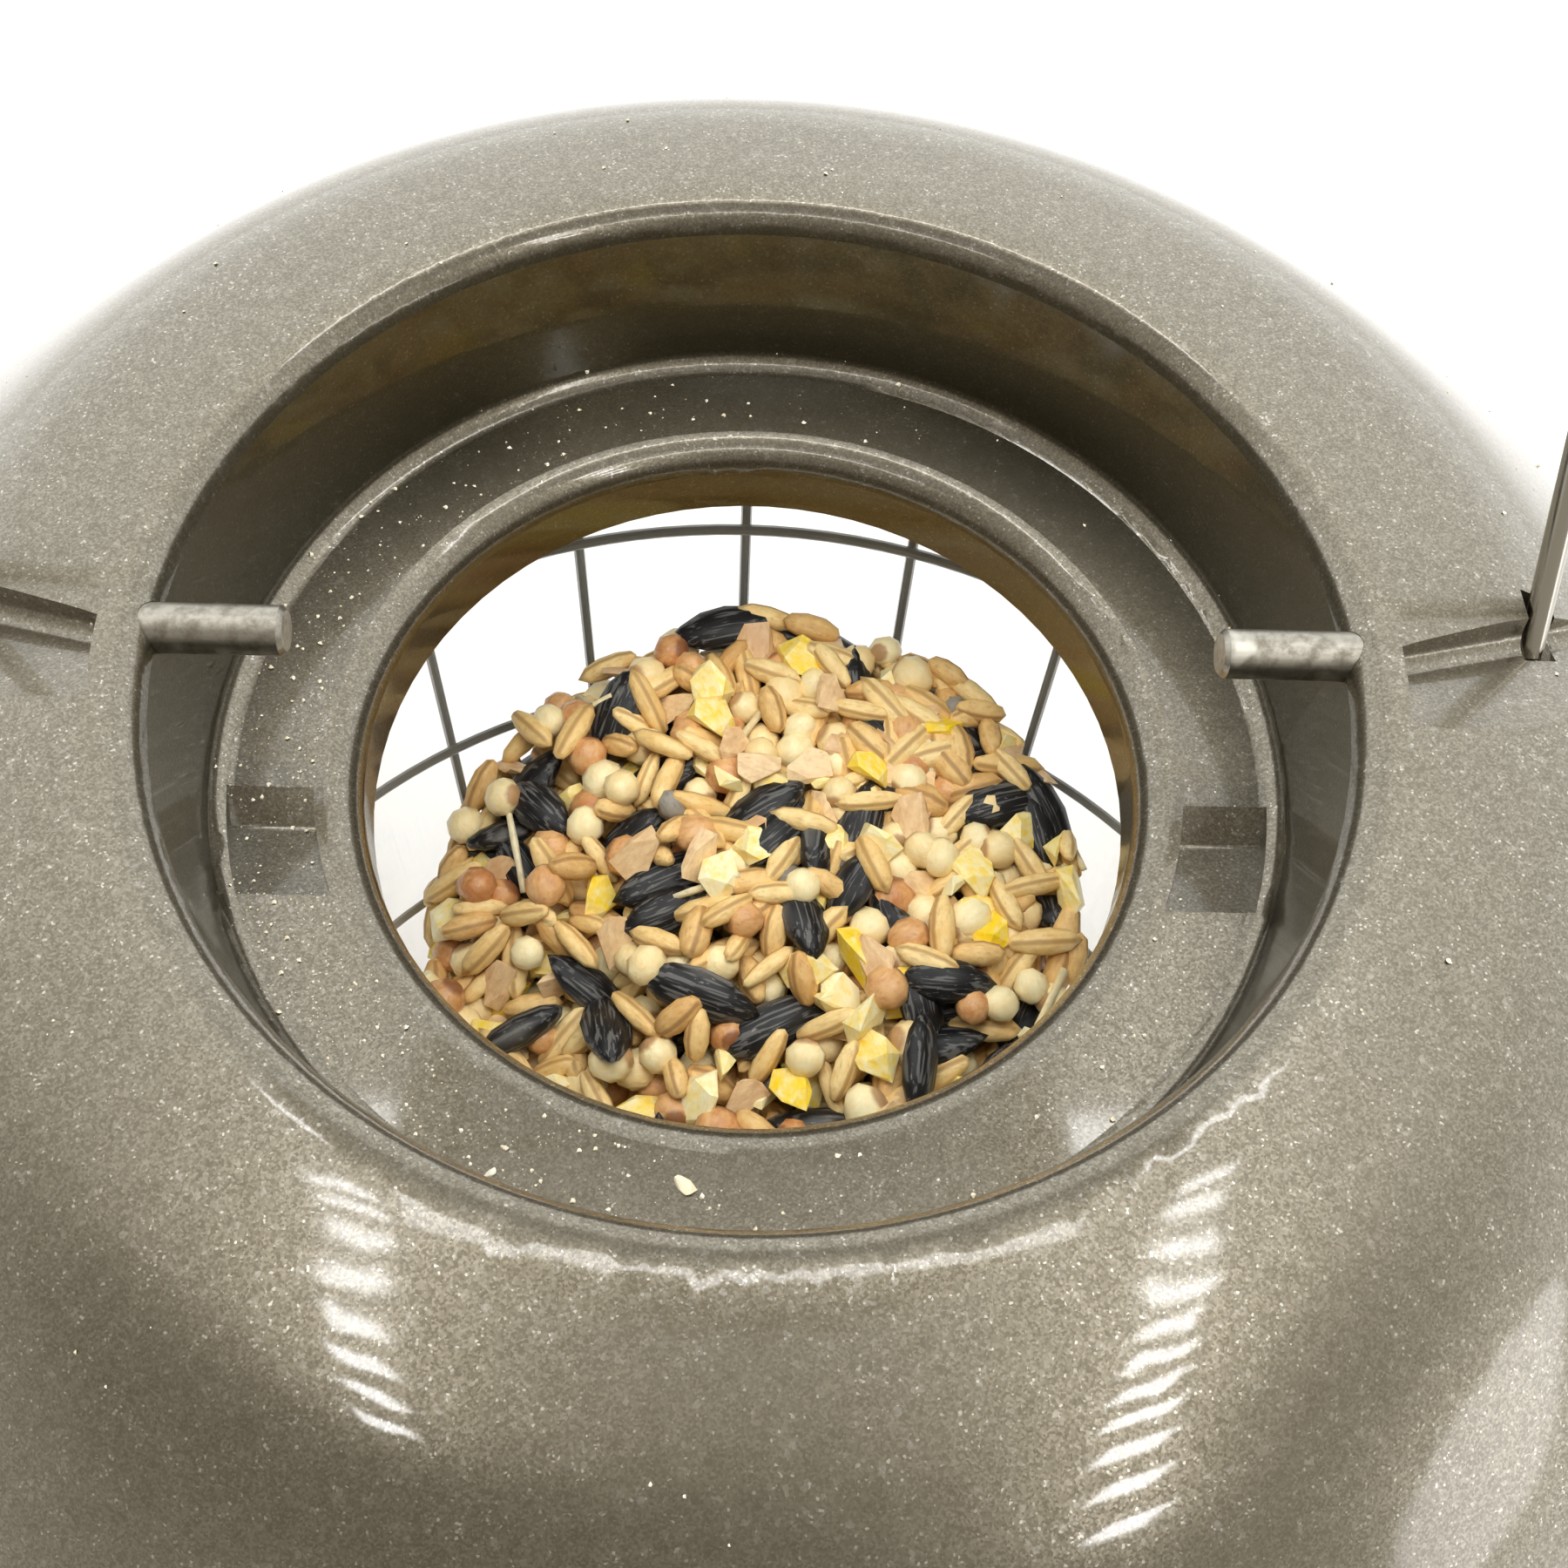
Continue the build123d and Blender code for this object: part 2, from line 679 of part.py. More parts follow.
with BuildPart() as wing_nut:
    with BuildSketch(Plane.XY.offset(washer_height)):
        Circle(nut_radius)
    extrude(amount=-nut_height, taper=8)
    with BuildSketch(Plane.XZ):
        with Locations((0, washer_height - nut_height / 2)):
            RectangleRounded(nut_wing_span, nut_wing_height, nut_wing_height / 3)
        with Locations((0, washer_height)):
            Rectangle(nut_wing_span, nut_height / 2, mode=Mode.SUBTRACT)
    extrude(amount=nut_wing_thickness / 2, both=True)
    with Locations((0, 0, washer_height)):
        Cylinder(bolt_radius + weld_gap, 4 * nut_height, mode=Mode.SUBTRACT)
finish(wing_nut, "wing_nut")

# Feeding ports: a flange that fits round the tube, a sleeve through the wall with a hood inside,
# and a boss below for the perch
sleeve_outer_radius = port_radius - body_gap
sleeve_inner_radius = sleeve_outer_radius - port_sleeve_wall
flange_face = tube_outer_radius + port_flange_reach
sleeve_face = tube_inner_radius - port_sleeve_depth
perch_boss_radius = perch_radius + perch_boss_wall
for index, (angle, height) in enumerate(port_places):
    with BuildPart() as port:
        with BuildSketch(facing_plane(angle, tube_inner_radius - port_flange_radius, height)):
            Circle(port_flange_radius)
        extrude(amount=flange_face - tube_inner_radius + port_flange_radius)
        with BuildSketch(facing_plane(angle, tube_inner_radius, height - perch_drop)):
            Circle(perch_boss_radius)
        extrude(amount=flange_face + port_flange_reach - tube_inner_radius)
        front_rim = port.faces().sort_by(Axis((0, 0, 0), facing_plane(angle, 0).z_dir))[-1].edges()
        fillet(front_rim, radius=perch_boss_wall / 3)
        Cylinder(tube_outer_radius + body_gap, 3 * rim_height, mode=Mode.SUBTRACT)
        with BuildSketch(facing_plane(angle, sleeve_face, height)):
            Circle(sleeve_outer_radius)
        extrude(amount=flange_face - sleeve_face)
        with BuildSketch(facing_plane(angle, sleeve_face - port_radius, height)):
            Circle(sleeve_inner_radius)
        extrude(amount=flange_face + port_radius, mode=Mode.SUBTRACT)
        with BuildSketch(facing_plane(angle, flange_face, height)):
            Circle(sleeve_inner_radius + hood_thickness)
            Circle(sleeve_inner_radius, mode=Mode.SUBTRACT)
            with Locations((0, -port_radius)):
                Rectangle(4 * port_radius, 2 * port_radius, mode=Mode.SUBTRACT)
        extrude(amount=hood_reach)
        with BuildSketch(facing_plane(angle, tube_outer_radius + body_gap, height - perch_drop)):
            Circle(perch_radius + weld_gap)
        extrude(amount=perch_length, mode=Mode.SUBTRACT)
    finish(port, f"port_{index + 1}")

    with BuildPart() as perch:
        with BuildSketch(facing_plane(angle, tube_outer_radius + body_gap, height - perch_drop)):
            Circle(perch_radius)
        extrude(amount=perch_length)
        with BuildSketch(facing_plane(angle, tube_outer_radius + body_gap + perch_length, height - perch_drop)):
            Circle(perch_knob_radius)
        extrude(amount=perch_knob_length)
        knob_edges = perch.edges().filter_by(GeomType.CIRCLE).filter_by(
            lambda edge: edge.radius > perch_radius + weld_gap
        )
        fillet(knob_edges, radius=perch_knob_length / 3)
    finish(perch, f"perch_{index + 1}")

# Seed: a heap that fills the tube up to its edge height and rises to a low crown
seed_radius = tube_inner_radius - body_gap
with BuildPart() as seed_mix:
    with BuildSketch(Plane.XZ):
        with BuildLine():
            Line((0, tube_foot_height + baffle_height + body_gap), (0, heap_edge_height + heap_crown))
            ThreePointArc(
                (0, heap_edge_height + heap_crown),
                (seed_radius / 2, heap_edge_height + heap_crown * 3 / 4),
                (seed_radius, heap_edge_height),
            )
            Polyline(
                (seed_radius, heap_edge_height),
                (seed_radius, tube_foot_height + baffle_wall + body_gap),
                (bolt_head_radius, tube_foot_height + baffle_height + body_gap),
                (0, tube_foot_height + baffle_height + body_gap),
            )
        make_face()
    revolve(axis=Axis.Z)
    for angle, height in port_places:
        with BuildSketch(facing_plane(angle, sleeve_face - body_gap, height)):
            Circle(port_radius)
        extrude(amount=2 * tube_outer_radius, mode=Mode.SUBTRACT)
finish(seed_mix, "seed_mix")

# Lid: a domed cap with a bayonet skirt, drawn at the height where it is lifted off
lid_seat = rim_height + rim_crest_height + lid_rest_gap + lid_lift
lid_top = lid_seat + lid_crown_height
pin_height_in_lid = rim_height + lid_lift
skirt_foot = lid_seat - skirt_length
slot_half = pin_radius + slot_clearance
seal_foot = ledge_height + body_gap + lid_lift
plate_foot = seal_foot + seal_section - plate_thickness
stem_top = lid_top - lid_wall - stem_screw_head_height


def crown_curve(lift=0.0):
    """The lid's top outline, from its edge to the flat round its middle."""
    return Spline(
        (lid_radius, lid_seat + lid_edge_thickness + lift),
        (lid_radius * 2 / 3, lid_seat + lid_crown_height - lid_edge_thickness / 2 + lift),
        (lid_radius / 4, lid_top + lift),
        tangents=[(-1, 1), (-1, 0)],
    )


with BuildPart() as lid_cap:
    with BuildSketch(Plane.XZ):
        with BuildLine():
            crown = crown_curve()
            Polyline(crown @ 1, (0, lid_top), (0, lid_top - lid_wall), (hub_outer_radius, lid_top - lid_wall))
            under = Line(
                (hub_outer_radius, lid_top - lid_wall),
                (skirt_outer_radius - skirt_wall, lid_seat + lid_edge_thickness / 2),
            )
            Polyline(
                under @ 1,
                (skirt_outer_radius - skirt_wall, skirt_foot),
                (skirt_outer_radius, skirt_foot),
                (skirt_outer_radius, lid_seat),
                (lid_radius, lid_seat),
                crown @ 0,
            )
        make_face()
        fillet(vertices().sort_by(Axis.X)[-2:], radius=lid_edge_thickness / 3)
    revolve(axis=Axis.Z)
    with BuildSketch(Plane.XY.offset(plate_foot + plate_height)):
        Circle(hub_outer_radius)
    extrude(amount=lid_top - lid_wall - plate_foot - plate_height)
    with BuildSketch(Plane.XY.offset(plate_foot)):
        Circle(stem_radius + stem_clearance)
    extrude(amount=lid_top - plate_foot, mode=Mode.SUBTRACT)
    with BuildSketch(Plane.XY.offset(stem_top)):
        Circle(stem_screw_head_radius + body_gap)
    extrude(amount=lid_top - stem_top, mode=Mode.SUBTRACT)
    for angle in (0, 180):
        with BuildSketch(radial_plane(angle, pin_height_in_lid)):
            with Locations((skirt_outer_radius, 0)):
                Rectangle(4 * skirt_wall, 2 * slot_half)
        revolve(axis=Axis.Z, revolution_arc=slot_turn, mode=Mode.SUBTRACT)
        with BuildSketch(facing_plane(angle, well_radius - pin_reach, 0)):
            with Locations((0, (pin_height_in_lid + skirt_foot - slot_half) / 2)):
                Rectangle(2 * slot_half, pin_height_in_lid - skirt_foot + slot_half)
            with Locations((0, pin_height_in_lid)):
                Circle(slot_half)
        extrude(amount=pin_reach, mode=Mode.SUBTRACT)
        with BuildSketch(facing_plane(angle + slot_turn, well_radius - pin_reach, pin_height_in_lid)):
            Circle(slot_half)
        extrude(amount=pin_reach, mode=Mode.SUBTRACT)
    with BuildSketch(Plane.XY.offset(lid_seat)):
        with GridLocations(grip_screw_spacing, 0, 2, 1):
            Circle(screw_radius + weld_gap)
    extrude(amount=lid_crown_height, mode=Mode.SUBTRACT)
finish(lid_cap, "lid_cap")

# Plate with the stem that the lid turns on, and the ring that closes the bore
with BuildPart() as lid_plate:
    with BuildSketch(Plane.XY.offset(plate_foot)):
        Circle(plate_radius)
    extrude(amount=plate_thickness)
    with BuildSketch(Plane.XY.offset(plate_foot)):
        Circle(stem_radius)
    extrude(amount=stem_top - weld_gap - plate_foot)
    with BuildSketch(Plane.XY.offset(plate_foot + plate_thickness)):
        Circle(hub_outer_radius)
    extrude(amount=plate_height - plate_thickness - body_gap)
    with BuildSketch(Plane.XY.offset(stem_top)):
        Circle(screw_radius + weld_gap)
    extrude(amount=-stem_screw_length, mode=Mode.SUBTRACT)
finish(lid_plate, "lid_plate")

with BuildPart() as lid_seal:
    with BuildSketch(Plane.XZ):
        with Locations((seal_radius - seal_section / 2, plate_foot + plate_thickness - seal_section / 2)):
            RectangleRounded(seal_section, seal_section, seal_section / 5)
        with Locations((plate_radius - seal_section, plate_foot + plate_thickness / 2)):
            Rectangle(2 * seal_section + weld_gap, plate_thickness + weld_gap, mode=Mode.SUBTRACT)
    revolve(axis=Axis.Z)
finish(lid_seal, "lid_seal")

with BuildPart() as lid_plate_screw:
    with BuildSketch(Plane.XY.offset(stem_top + weld_gap)):
        Circle(stem_screw_head_radius)
    extrude(amount=stem_screw_head_height - body_gap)
    head_rim = lid_plate_screw.faces().sort_by(Axis.Z)[-1].edges()
    fillet(head_rim, radius=stem_screw_head_height / 3)
    with BuildSketch(Plane.XY.offset(stem_top + weld_gap)):
        Circle(screw_radius)
    extrude(amount=body_gap - stem_screw_length)
finish(lid_plate_screw, "lid_plate_screw")

# Grip: a raised bar with a waist for the fingers, whose foot follows the cap's crown
grip_half = (grip_length - grip_width) / 2
with BuildPart() as lid_grip:
    with BuildSketch(Plane.XY.offset(lid_top - lid_wall)):
        with BuildLine():
            back = Spline(
                (grip_half, grip_width / 2),
                (0, grip_width / 2 * grip_waist_share),
                (-grip_half, grip_width / 2),
                tangents=[(-1, 0), (-1, 0)],
            )
            ThreePointArc(back @ 1, (-grip_half - grip_width / 2, 0), (-grip_half, -grip_width / 2))
            front = Spline(
                (-grip_half, -grip_width / 2),
                (0, -grip_width / 2 * grip_waist_share),
                (grip_half, -grip_width / 2),
                tangents=[(1, 0), (1, 0)],
            )
            ThreePointArc(front @ 1, (grip_half + grip_width / 2, 0), back @ 0)
        make_face()
    extrude(amount=grip_height + lid_wall)
    top_edges = lid_grip.faces().sort_by(Axis.Z)[-1].edges()
    fillet(top_edges, radius=grip_width / 8)
    with BuildSketch(Plane.XZ):
        with BuildLine():
            shifted = crown_curve(weld_gap)
            Polyline(
                shifted @ 1,
                (0, lid_top + weld_gap),
                (0, lid_seat),
                (lid_radius, lid_seat),
                shifted @ 0,
            )
        make_face()
    revolve(axis=Axis.Z, mode=Mode.SUBTRACT)
    with BuildSketch(Plane.XY.offset(lid_top - lid_wall)):
        with GridLocations(grip_screw_spacing, 0, 2, 1):
            Circle(screw_radius + weld_gap)
    extrude(amount=grip_screw_length, mode=Mode.SUBTRACT)
finish(lid_grip, "lid_grip")

# Screws that hold the grip, driven from inside the cap
crown_under_slope = (lid_crown_height - lid_wall - lid_edge_thickness / 2) / (
    skirt_outer_radius - skirt_wall - hub_outer_radius
)
grip_screw_out = grip_screw_spacing / 2 + screw_head_radius
grip_screw_face = lid_top - lid_wall - crown_under_slope * (grip_screw_out - hub_outer_radius) - weld_gap
with BuildPart() as lid_grip_screws:
    with BuildSketch(Plane.XY.offset(grip_screw_face)):
        with GridLocations(grip_screw_spacing, 0, 2, 1):
            Circle(screw_radius)
    extrude(amount=grip_screw_length)
    with BuildSketch(Plane.XY.offset(grip_screw_face)):
        with GridLocations(grip_screw_spacing, 0, 2, 1):
            Circle(screw_head_radius)
    extrude(amount=-screw_head_height)
finish(lid_grip_screws, "lid_grip_screws")
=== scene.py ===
"""A caged bird feeder with its lid lifted off, dressed for a close look down into the filling well.

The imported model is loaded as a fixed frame. Each operator dresses one part of the feeder or makes
the stage, and main runs them in order.
"""
import math

import bmesh
import bpy
import numpy as np
from bpy.props import FloatProperty, FloatVectorProperty, IntProperty, PointerProperty
from mathutils import Matrix, Vector
from mathutils.bvhtree import BVHTree


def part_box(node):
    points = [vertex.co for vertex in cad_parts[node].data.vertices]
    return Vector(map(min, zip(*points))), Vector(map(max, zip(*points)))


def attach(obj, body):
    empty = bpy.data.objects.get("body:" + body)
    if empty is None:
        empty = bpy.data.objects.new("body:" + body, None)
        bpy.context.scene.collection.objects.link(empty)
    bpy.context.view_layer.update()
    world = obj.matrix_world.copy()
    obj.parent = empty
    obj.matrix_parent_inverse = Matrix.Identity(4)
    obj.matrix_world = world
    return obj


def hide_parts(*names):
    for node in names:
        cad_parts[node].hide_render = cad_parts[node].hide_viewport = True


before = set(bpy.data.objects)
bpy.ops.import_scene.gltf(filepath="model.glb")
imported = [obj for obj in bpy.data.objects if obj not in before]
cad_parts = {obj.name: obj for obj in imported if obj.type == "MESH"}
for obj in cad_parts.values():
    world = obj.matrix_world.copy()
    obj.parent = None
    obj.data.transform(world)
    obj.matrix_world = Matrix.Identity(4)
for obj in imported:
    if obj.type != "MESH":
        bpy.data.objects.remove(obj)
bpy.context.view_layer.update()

bl_info = {
    "name": "Caged bird feeder",
    "version": (1, 0, 0),
    "blender": (4, 5, 0),
    "location": "View3D > Sidebar > Feeder",
    "description": "Dresses a caged seed feeder: metal-flake roof, clear tube, mixed seed and wire cage",
    "category": "Object",
}

MM = 0.001

# Heights and radii taken from the CAD frame
_, ROOF_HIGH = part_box("dome_roof")
SEED_LOW, SEED_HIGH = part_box("seed_mix")
RIM_CREST = ROOF_HIGH.z
RIM_CREASE = RIM_CREST - 3.1 * MM
WELL_RADIUS = 55.15 * MM
SEED_RADIUS = SEED_HIGH.x

# The painted shade on the well's walls fades out between these distances from the axis
WALL_SHADE_END = (56.2 * MM, 57.6 * MM)

# Form of the heap: height of its edge, its rise across the tube and the way that it rises
HEAP_EDGE = RIM_CREASE - 60.0 * MM
HEAP_RISE = 9.0 * MM
HEAP_LEAN = math.radians(35)

# Foot of the seed that shows above the baffle, and top of the layer against the tube
FILL_FOOT = SEED_LOW.z + 24.0 * MM
SIDE_TOP = HEAP_EDGE - 13.0 * MM

# The core behind the seeds: its radius, its depth under the heap and the top of its upright side
CORE_RADIUS = SEED_RADIUS - 3.2 * MM
CORE_SINK = 8.0 * MM
CORE_SHOULDER = HEAP_EDGE - 30.0 * MM


class FeederFinishes(bpy.types.PropertyGroup):
    """Colours of the feeder's finishes."""

    pewter: FloatVectorProperty(
        name="Pewter", description="Colour of the bright metal flakes", subtype="COLOR",
        size=4, min=0, max=1, default=(0.305, 0.274, 0.212, 1),
    )
    pewter_deep: FloatVectorProperty(
        name="Deep pewter", description="Colour between the flakes", subtype="COLOR",
        size=4, min=0, max=1, default=(0.145, 0.125, 0.086, 1),
    )
    cage: FloatVectorProperty(
        name="Cage", description="Colour of the coated cage wire", subtype="COLOR",
        size=4, min=0, max=1, default=(0.045, 0.045, 0.042, 1),
    )
    steel: FloatVectorProperty(
        name="Steel", description="Colour of the drawn steel wire and pins", subtype="COLOR",
        size=4, min=0, max=1, default=(0.50, 0.475, 0.42, 1),
    )
    clear: FloatVectorProperty(
        name="Clear plastic", description="Tint of the seed tube", subtype="COLOR",
        size=4, min=0, max=1, default=(0.86, 0.9, 0.87, 1),
    )


class FeederSeeds(bpy.types.PropertyGroup):
    """Amounts of seed in the tube and of dust on the roof."""

    heap_seeds: IntProperty(
        name="Heap seeds", description="Seeds poured on the heap", min=100, max=4000, default=1150,
    )
    side_tries: IntProperty(
        name="Side tries", description="Places tried for seeds against the tube", min=100, max=60000,
        default=24000,
    )
    crown: FloatProperty(
        name="Crown", description="Height of the heap's middle above its edge", subtype="DISTANCE",
        unit="LENGTH", min=0, max=0.02, default=0.0075,
    )
    dust: IntProperty(
        name="Dust", description="Specks of seed dust on the roof", min=0, max=2000, default=900,
    )
    seed: IntProperty(name="Draw", description="Number that fixes the random draw", min=0, default=11)


class Field:
    """A shader socket that can stand in a Python expression."""

    def __init__(self, finish, socket):
        self.finish = finish
        self.socket = socket

    def maths(self, operation, *others):
        return self.finish.node("ShaderNodeMath", {"operation": operation}, [self, *others])

    def __add__(self, other):
        return self.maths("ADD", other)

    __radd__ = __add__

    def __sub__(self, other):
        return self.maths("SUBTRACT", other)

    def __rsub__(self, other):
        return self.finish.node("ShaderNodeMath", {"operation": "SUBTRACT"}, [other, self])

    def __mul__(self, other):
        return self.maths("MULTIPLY", other)

    __rmul__ = __mul__

    def __pow__(self, other):
        return self.maths("POWER", other)

    def step(self, low, high):
        """0 below low, 1 above high and smooth between."""
        return self.finish.node(
            "ShaderNodeMapRange", {"interpolation_type": "SMOOTHSTEP"},
            {"Value": self, "From Min": low, "From Max": high},
        )


# Sockets of the Mix node that mix colours. Those for numbers and vectors have the same names.
MIX_SHARE, MIX_FIRST, MIX_SECOND = 0, 6, 7
MIX_RESULT = 2


class Finish:
    """A material or a world under construction. Scales of patterns are per metre of the object."""

    def __init__(self, name, world=False):
        self.material = (bpy.data.worlds if world else bpy.data.materials).new(name)
        self.material.use_nodes = True
        self.tree = self.material.node_tree
        self.tree.nodes.clear()
        self.output = self.tree.nodes.new("ShaderNodeOutputWorld" if world else "ShaderNodeOutputMaterial")
        self.place = self.node("ShaderNodeTexCoord", output="Generated" if world else "Object")

    def feed(self, socket, value):
        """Links a field to a socket, or sets the socket to a constant."""
        if isinstance(value, Field):
            self.tree.links.new(value.socket, socket)
        else:
            socket.default_value = value

    def node(self, kind, settings=None, values=None, output=0):
        """Adds a node: its settings first, then the values or links of its sockets."""
        made = self.tree.nodes.new(kind)
        for key, value in (settings or {}).items():
            setattr(made, key, value)
        pairs = enumerate(values) if isinstance(values, list) else (values or {}).items()
        for key, value in pairs:
            self.feed(made.inputs[key], value)
        return Field(self, made.outputs[output])

    def noise(self, scale, detail=3.0, roughness=0.5, place=None):
        values = {"Vector": place or self.place, "Scale": scale, "Detail": detail, "Roughness": roughness}
        return self.node("ShaderNodeTexNoise", {}, values)

    def cells(self, scale, output="Distance"):
        return self.node("ShaderNodeTexVoronoi", {}, {"Vector": self.place, "Scale": scale}, output)

    def stretched(self, scale):
        """Object coordinates scaled along each axis."""
        return self.node("ShaderNodeMapping", {}, {"Vector": self.place, "Scale": scale})

    def mix(self, share, first, second):
        """A colour between two others."""
        values = {MIX_SHARE: share, MIX_FIRST: first, MIX_SECOND: second}
        return self.node("ShaderNodeMix", {"data_type": "RGBA"}, values, MIX_RESULT)

    def attribute(self, name, output="Fac"):
        return self.node("ShaderNodeAttribute", {"attribute_name": name}, {}, output)

    def split(self, vector, axis):
        return self.node("ShaderNodeSeparateXYZ", {}, [vector], axis)

    def joined(self, *axes):
        return self.node("ShaderNodeCombineXYZ", {}, list(axes))

    def shifted(self, vector, shift):
        return self.node("ShaderNodeVectorMath", {"operation": "ADD"}, [vector, shift])

    def rays(self, *kinds):
        """1 for rays of these kinds and 0 for all others."""
        first, *others = (self.node("ShaderNodeLightPath", output=f"Is {kind} Ray") for kind in kinds)
        return sum(others, first).maths("MINIMUM", 1.0)

    def well_wall_shade(self):
        """Where painted shade goes: 1 on the upright walls inside the filling well and its bore, 0 elsewhere.
        """
        across, along = (self.split(self.place, axis) for axis in "XY")
        out = (across * across + along * along) ** 0.5
        level = self.split(self.node("ShaderNodeTexCoord", output="Normal"), "Z").maths("ABSOLUTE")
        return (1 - level.step(0.12, 0.55)) * (1 - out.step(*WALL_SHADE_END))

    def bump(self, height, distance, strength):
        values = {"Height": height, "Distance": distance, "Strength": strength}
        return self.node("ShaderNodeBump", {}, values)

    def end(self, shader):
        """Ends the tree in this shader."""
        self.feed(self.output.inputs["Surface"], shader)
        return self.material

    def surface(self, **values):
        """Ends the material in one principled surface."""
        names = {key.replace("_", " "): value for key, value in values.items()}
        return self.end(self.node("ShaderNodeBsdfPrincipled", {}, names))


def pewter_finish(colours):
    """Metal-flake plastic: fine bright flakes in a bronze body under a clear, slightly dusty gloss, with
    painted shade on the well's walls.
    """
    white_spark = (0.85, 0.83, 0.76, 1)
    large_spark = (0.80, 0.79, 0.74, 1)
    dust_colour = (0.62, 0.59, 0.50, 1)
    # Painted shade: the dark colour laid on the well's upright walls
    wall_shade_colour = (0.050, 0.040, 0.014, 1)
    flakes_per_metre = 5200
    finish = Finish("pewter_flake_plastic")
    flake = finish.cells(flakes_per_metre, "Color")
    glint = finish.split(flake, "X")
    lean = finish.split(flake, "Y")
    patch = finish.noise(520, 3, 0.6)
    drift = finish.noise(24, 4)
    dust = finish.noise(1300, 4, 0.7).step(0.68, 0.78) * finish.noise(60, 2).step(0.48, 0.64)
    bright = (glint ** 1.4) * 0.8 + (patch - 0.5) * 0.55 + (drift - 0.5) * 0.3 + 0.06
    colour = finish.mix(bright, tuple(colours.pewter_deep), tuple(colours.pewter))
    spark = glint.step(0.96, 0.99) * patch.step(0.4, 0.6)
    colour = finish.mix(spark * 0.5, colour, white_spark)
    large = finish.split(finish.cells(2300, "Color"), "Z").step(0.93, 0.97) * patch.step(0.35, 0.6)
    colour = finish.mix(large * 0.15, colour, large_spark)
    colour = finish.mix(dust * 0.25, colour, dust_colour)
    # Painted shade: the upright walls inside the well and bore are darkened and lose part of their coat
    wall = finish.well_wall_shade()
    colour = finish.mix(wall * 0.82, colour, wall_shade_colour)
    facets = lean * 0.7 + finish.cells(flakes_per_metre) * 0.5
    return finish.surface(
        Base_Color=colour,
        Metallic=1 - dust * 0.5,
        Roughness=(1 - glint) * 0.12 + 0.28 + dust * 0.3,
        Coat_Weight=1 - dust * 0.6 - wall * 0.4,
        Coat_Roughness=0.07,
        Coat_IOR=1.55,
        Normal=finish.bump(facets, 0.00002, 0.3),
    )


def steel_finish(name, colours, along, wear=0.0, contrast=1.0):
    """Drawn or turned steel with fine lines along or around it, and a mottled, rubbed skin where worn."""
    stained = (0.34, 0.32, 0.27, 1)
    dulled = (0.225, 0.205, 0.165, 1)
    rubbed = (0.68, 0.66, 0.59, 1)
    finish = Finish(name)
    lines = finish.noise(1.0, 3, 0.6, finish.stretched(along))
    stain = finish.noise(160, 3)
    colour = finish.mix((lines * 0.5 + stain * 0.3) * contrast, tuple(colours.steel), stained)
    roughness = lines * 0.2 * contrast + 0.17
    if wear:
        mottle = finish.noise(750, 4, 0.65)
        colour = finish.mix(mottle.step(0.35, 0.7) * wear, colour, dulled)
        colour = finish.mix(finish.noise(230, 2).step(0.60, 0.70) * wear * 0.9, colour, rubbed)
        roughness = roughness + mottle * wear * 0.3
    return finish.surface(
        Base_Color=colour,
        Metallic=1.0,
        Roughness=roughness,
        Normal=finish.bump(lines, 0.00003, 0.4),
    )


def cage_finish(colours):
    """Dark satin coat on steel wire, with fine lines and a little wear."""
    finish = Finish("coated_cage_wire")
    grain = finish.noise(1400, 3)
    wear = finish.noise(210, 4, 0.65).step(0.60, 0.70)
    worn = (0.16, 0.155, 0.14, 1)
    return finish.surface(
        Base_Color=finish.mix(wear * 0.35, tuple(colours.cage), worn),
        Metallic=0.5,
        Roughness=grain * 0.12 + 0.24,
        Coat_Weight=0.5,
        Coat_Roughness=0.12,
        Normal=finish.bump(grain, 0.00003, 0.3),
    )


def clear_finish(colours):
    """Clear tube plastic: see-through face on, brighter at grazing angles, with fine scratches."""
    finish = Finish("clear_tube_plastic")
    scratches = finish.noise(1.0, 4, 0.7, finish.stretched((2600, 2600, 30))).step(0.55, 0.75)
    haze = finish.noise(40, 3)
    edge = finish.node("ShaderNodeLayerWeight", {}, {"Blend": 0.35}, "Facing")
    return finish.surface(
        Base_Color=tuple(colours.clear),
        Roughness=scratches * 0.12 + 0.05,
        Alpha=(edge ** 3) * 0.55 + scratches * 0.05 + haze * 0.05 + 0.035,
        IOR=1.58,
    )


def moulded_finish(name, colour, roughness=0.45):
    """Plain moulded plastic with a fine spark-eroded texture and a few pale scuffs."""
    finish = Finish(name)
    texture = finish.noise(1700, 4, 0.6)
    scuff = finish.noise(75, 5, 0.65).step(0.55, 0.8)
    pale = tuple(min(1.0, c * 1.7 + 0.02) for c in colour) + (1,)
    return finish.surface(
        Base_Color=finish.mix(scuff * 0.35, colour + (1,), pale),
        Roughness=texture * 0.18 + roughness + scuff * 0.1,
        Normal=finish.bump(texture, 0.00004, 0.35),
    )


def rubber_finish():
    """Soft black rubber with a bloom of dust."""
    black = (0.018, 0.018, 0.018, 1)
    dusty = (0.075, 0.072, 0.066, 1)
    finish = Finish("seal_rubber")
    bloom = finish.noise(240, 5, 0.7)
    return finish.surface(
        Base_Color=finish.mix(bloom.step(0.45, 0.8) * 0.4, black, dusty),
        Roughness=bloom * 0.2 + 0.6,
        Normal=finish.bump(bloom, 0.00005, 0.3),
    )


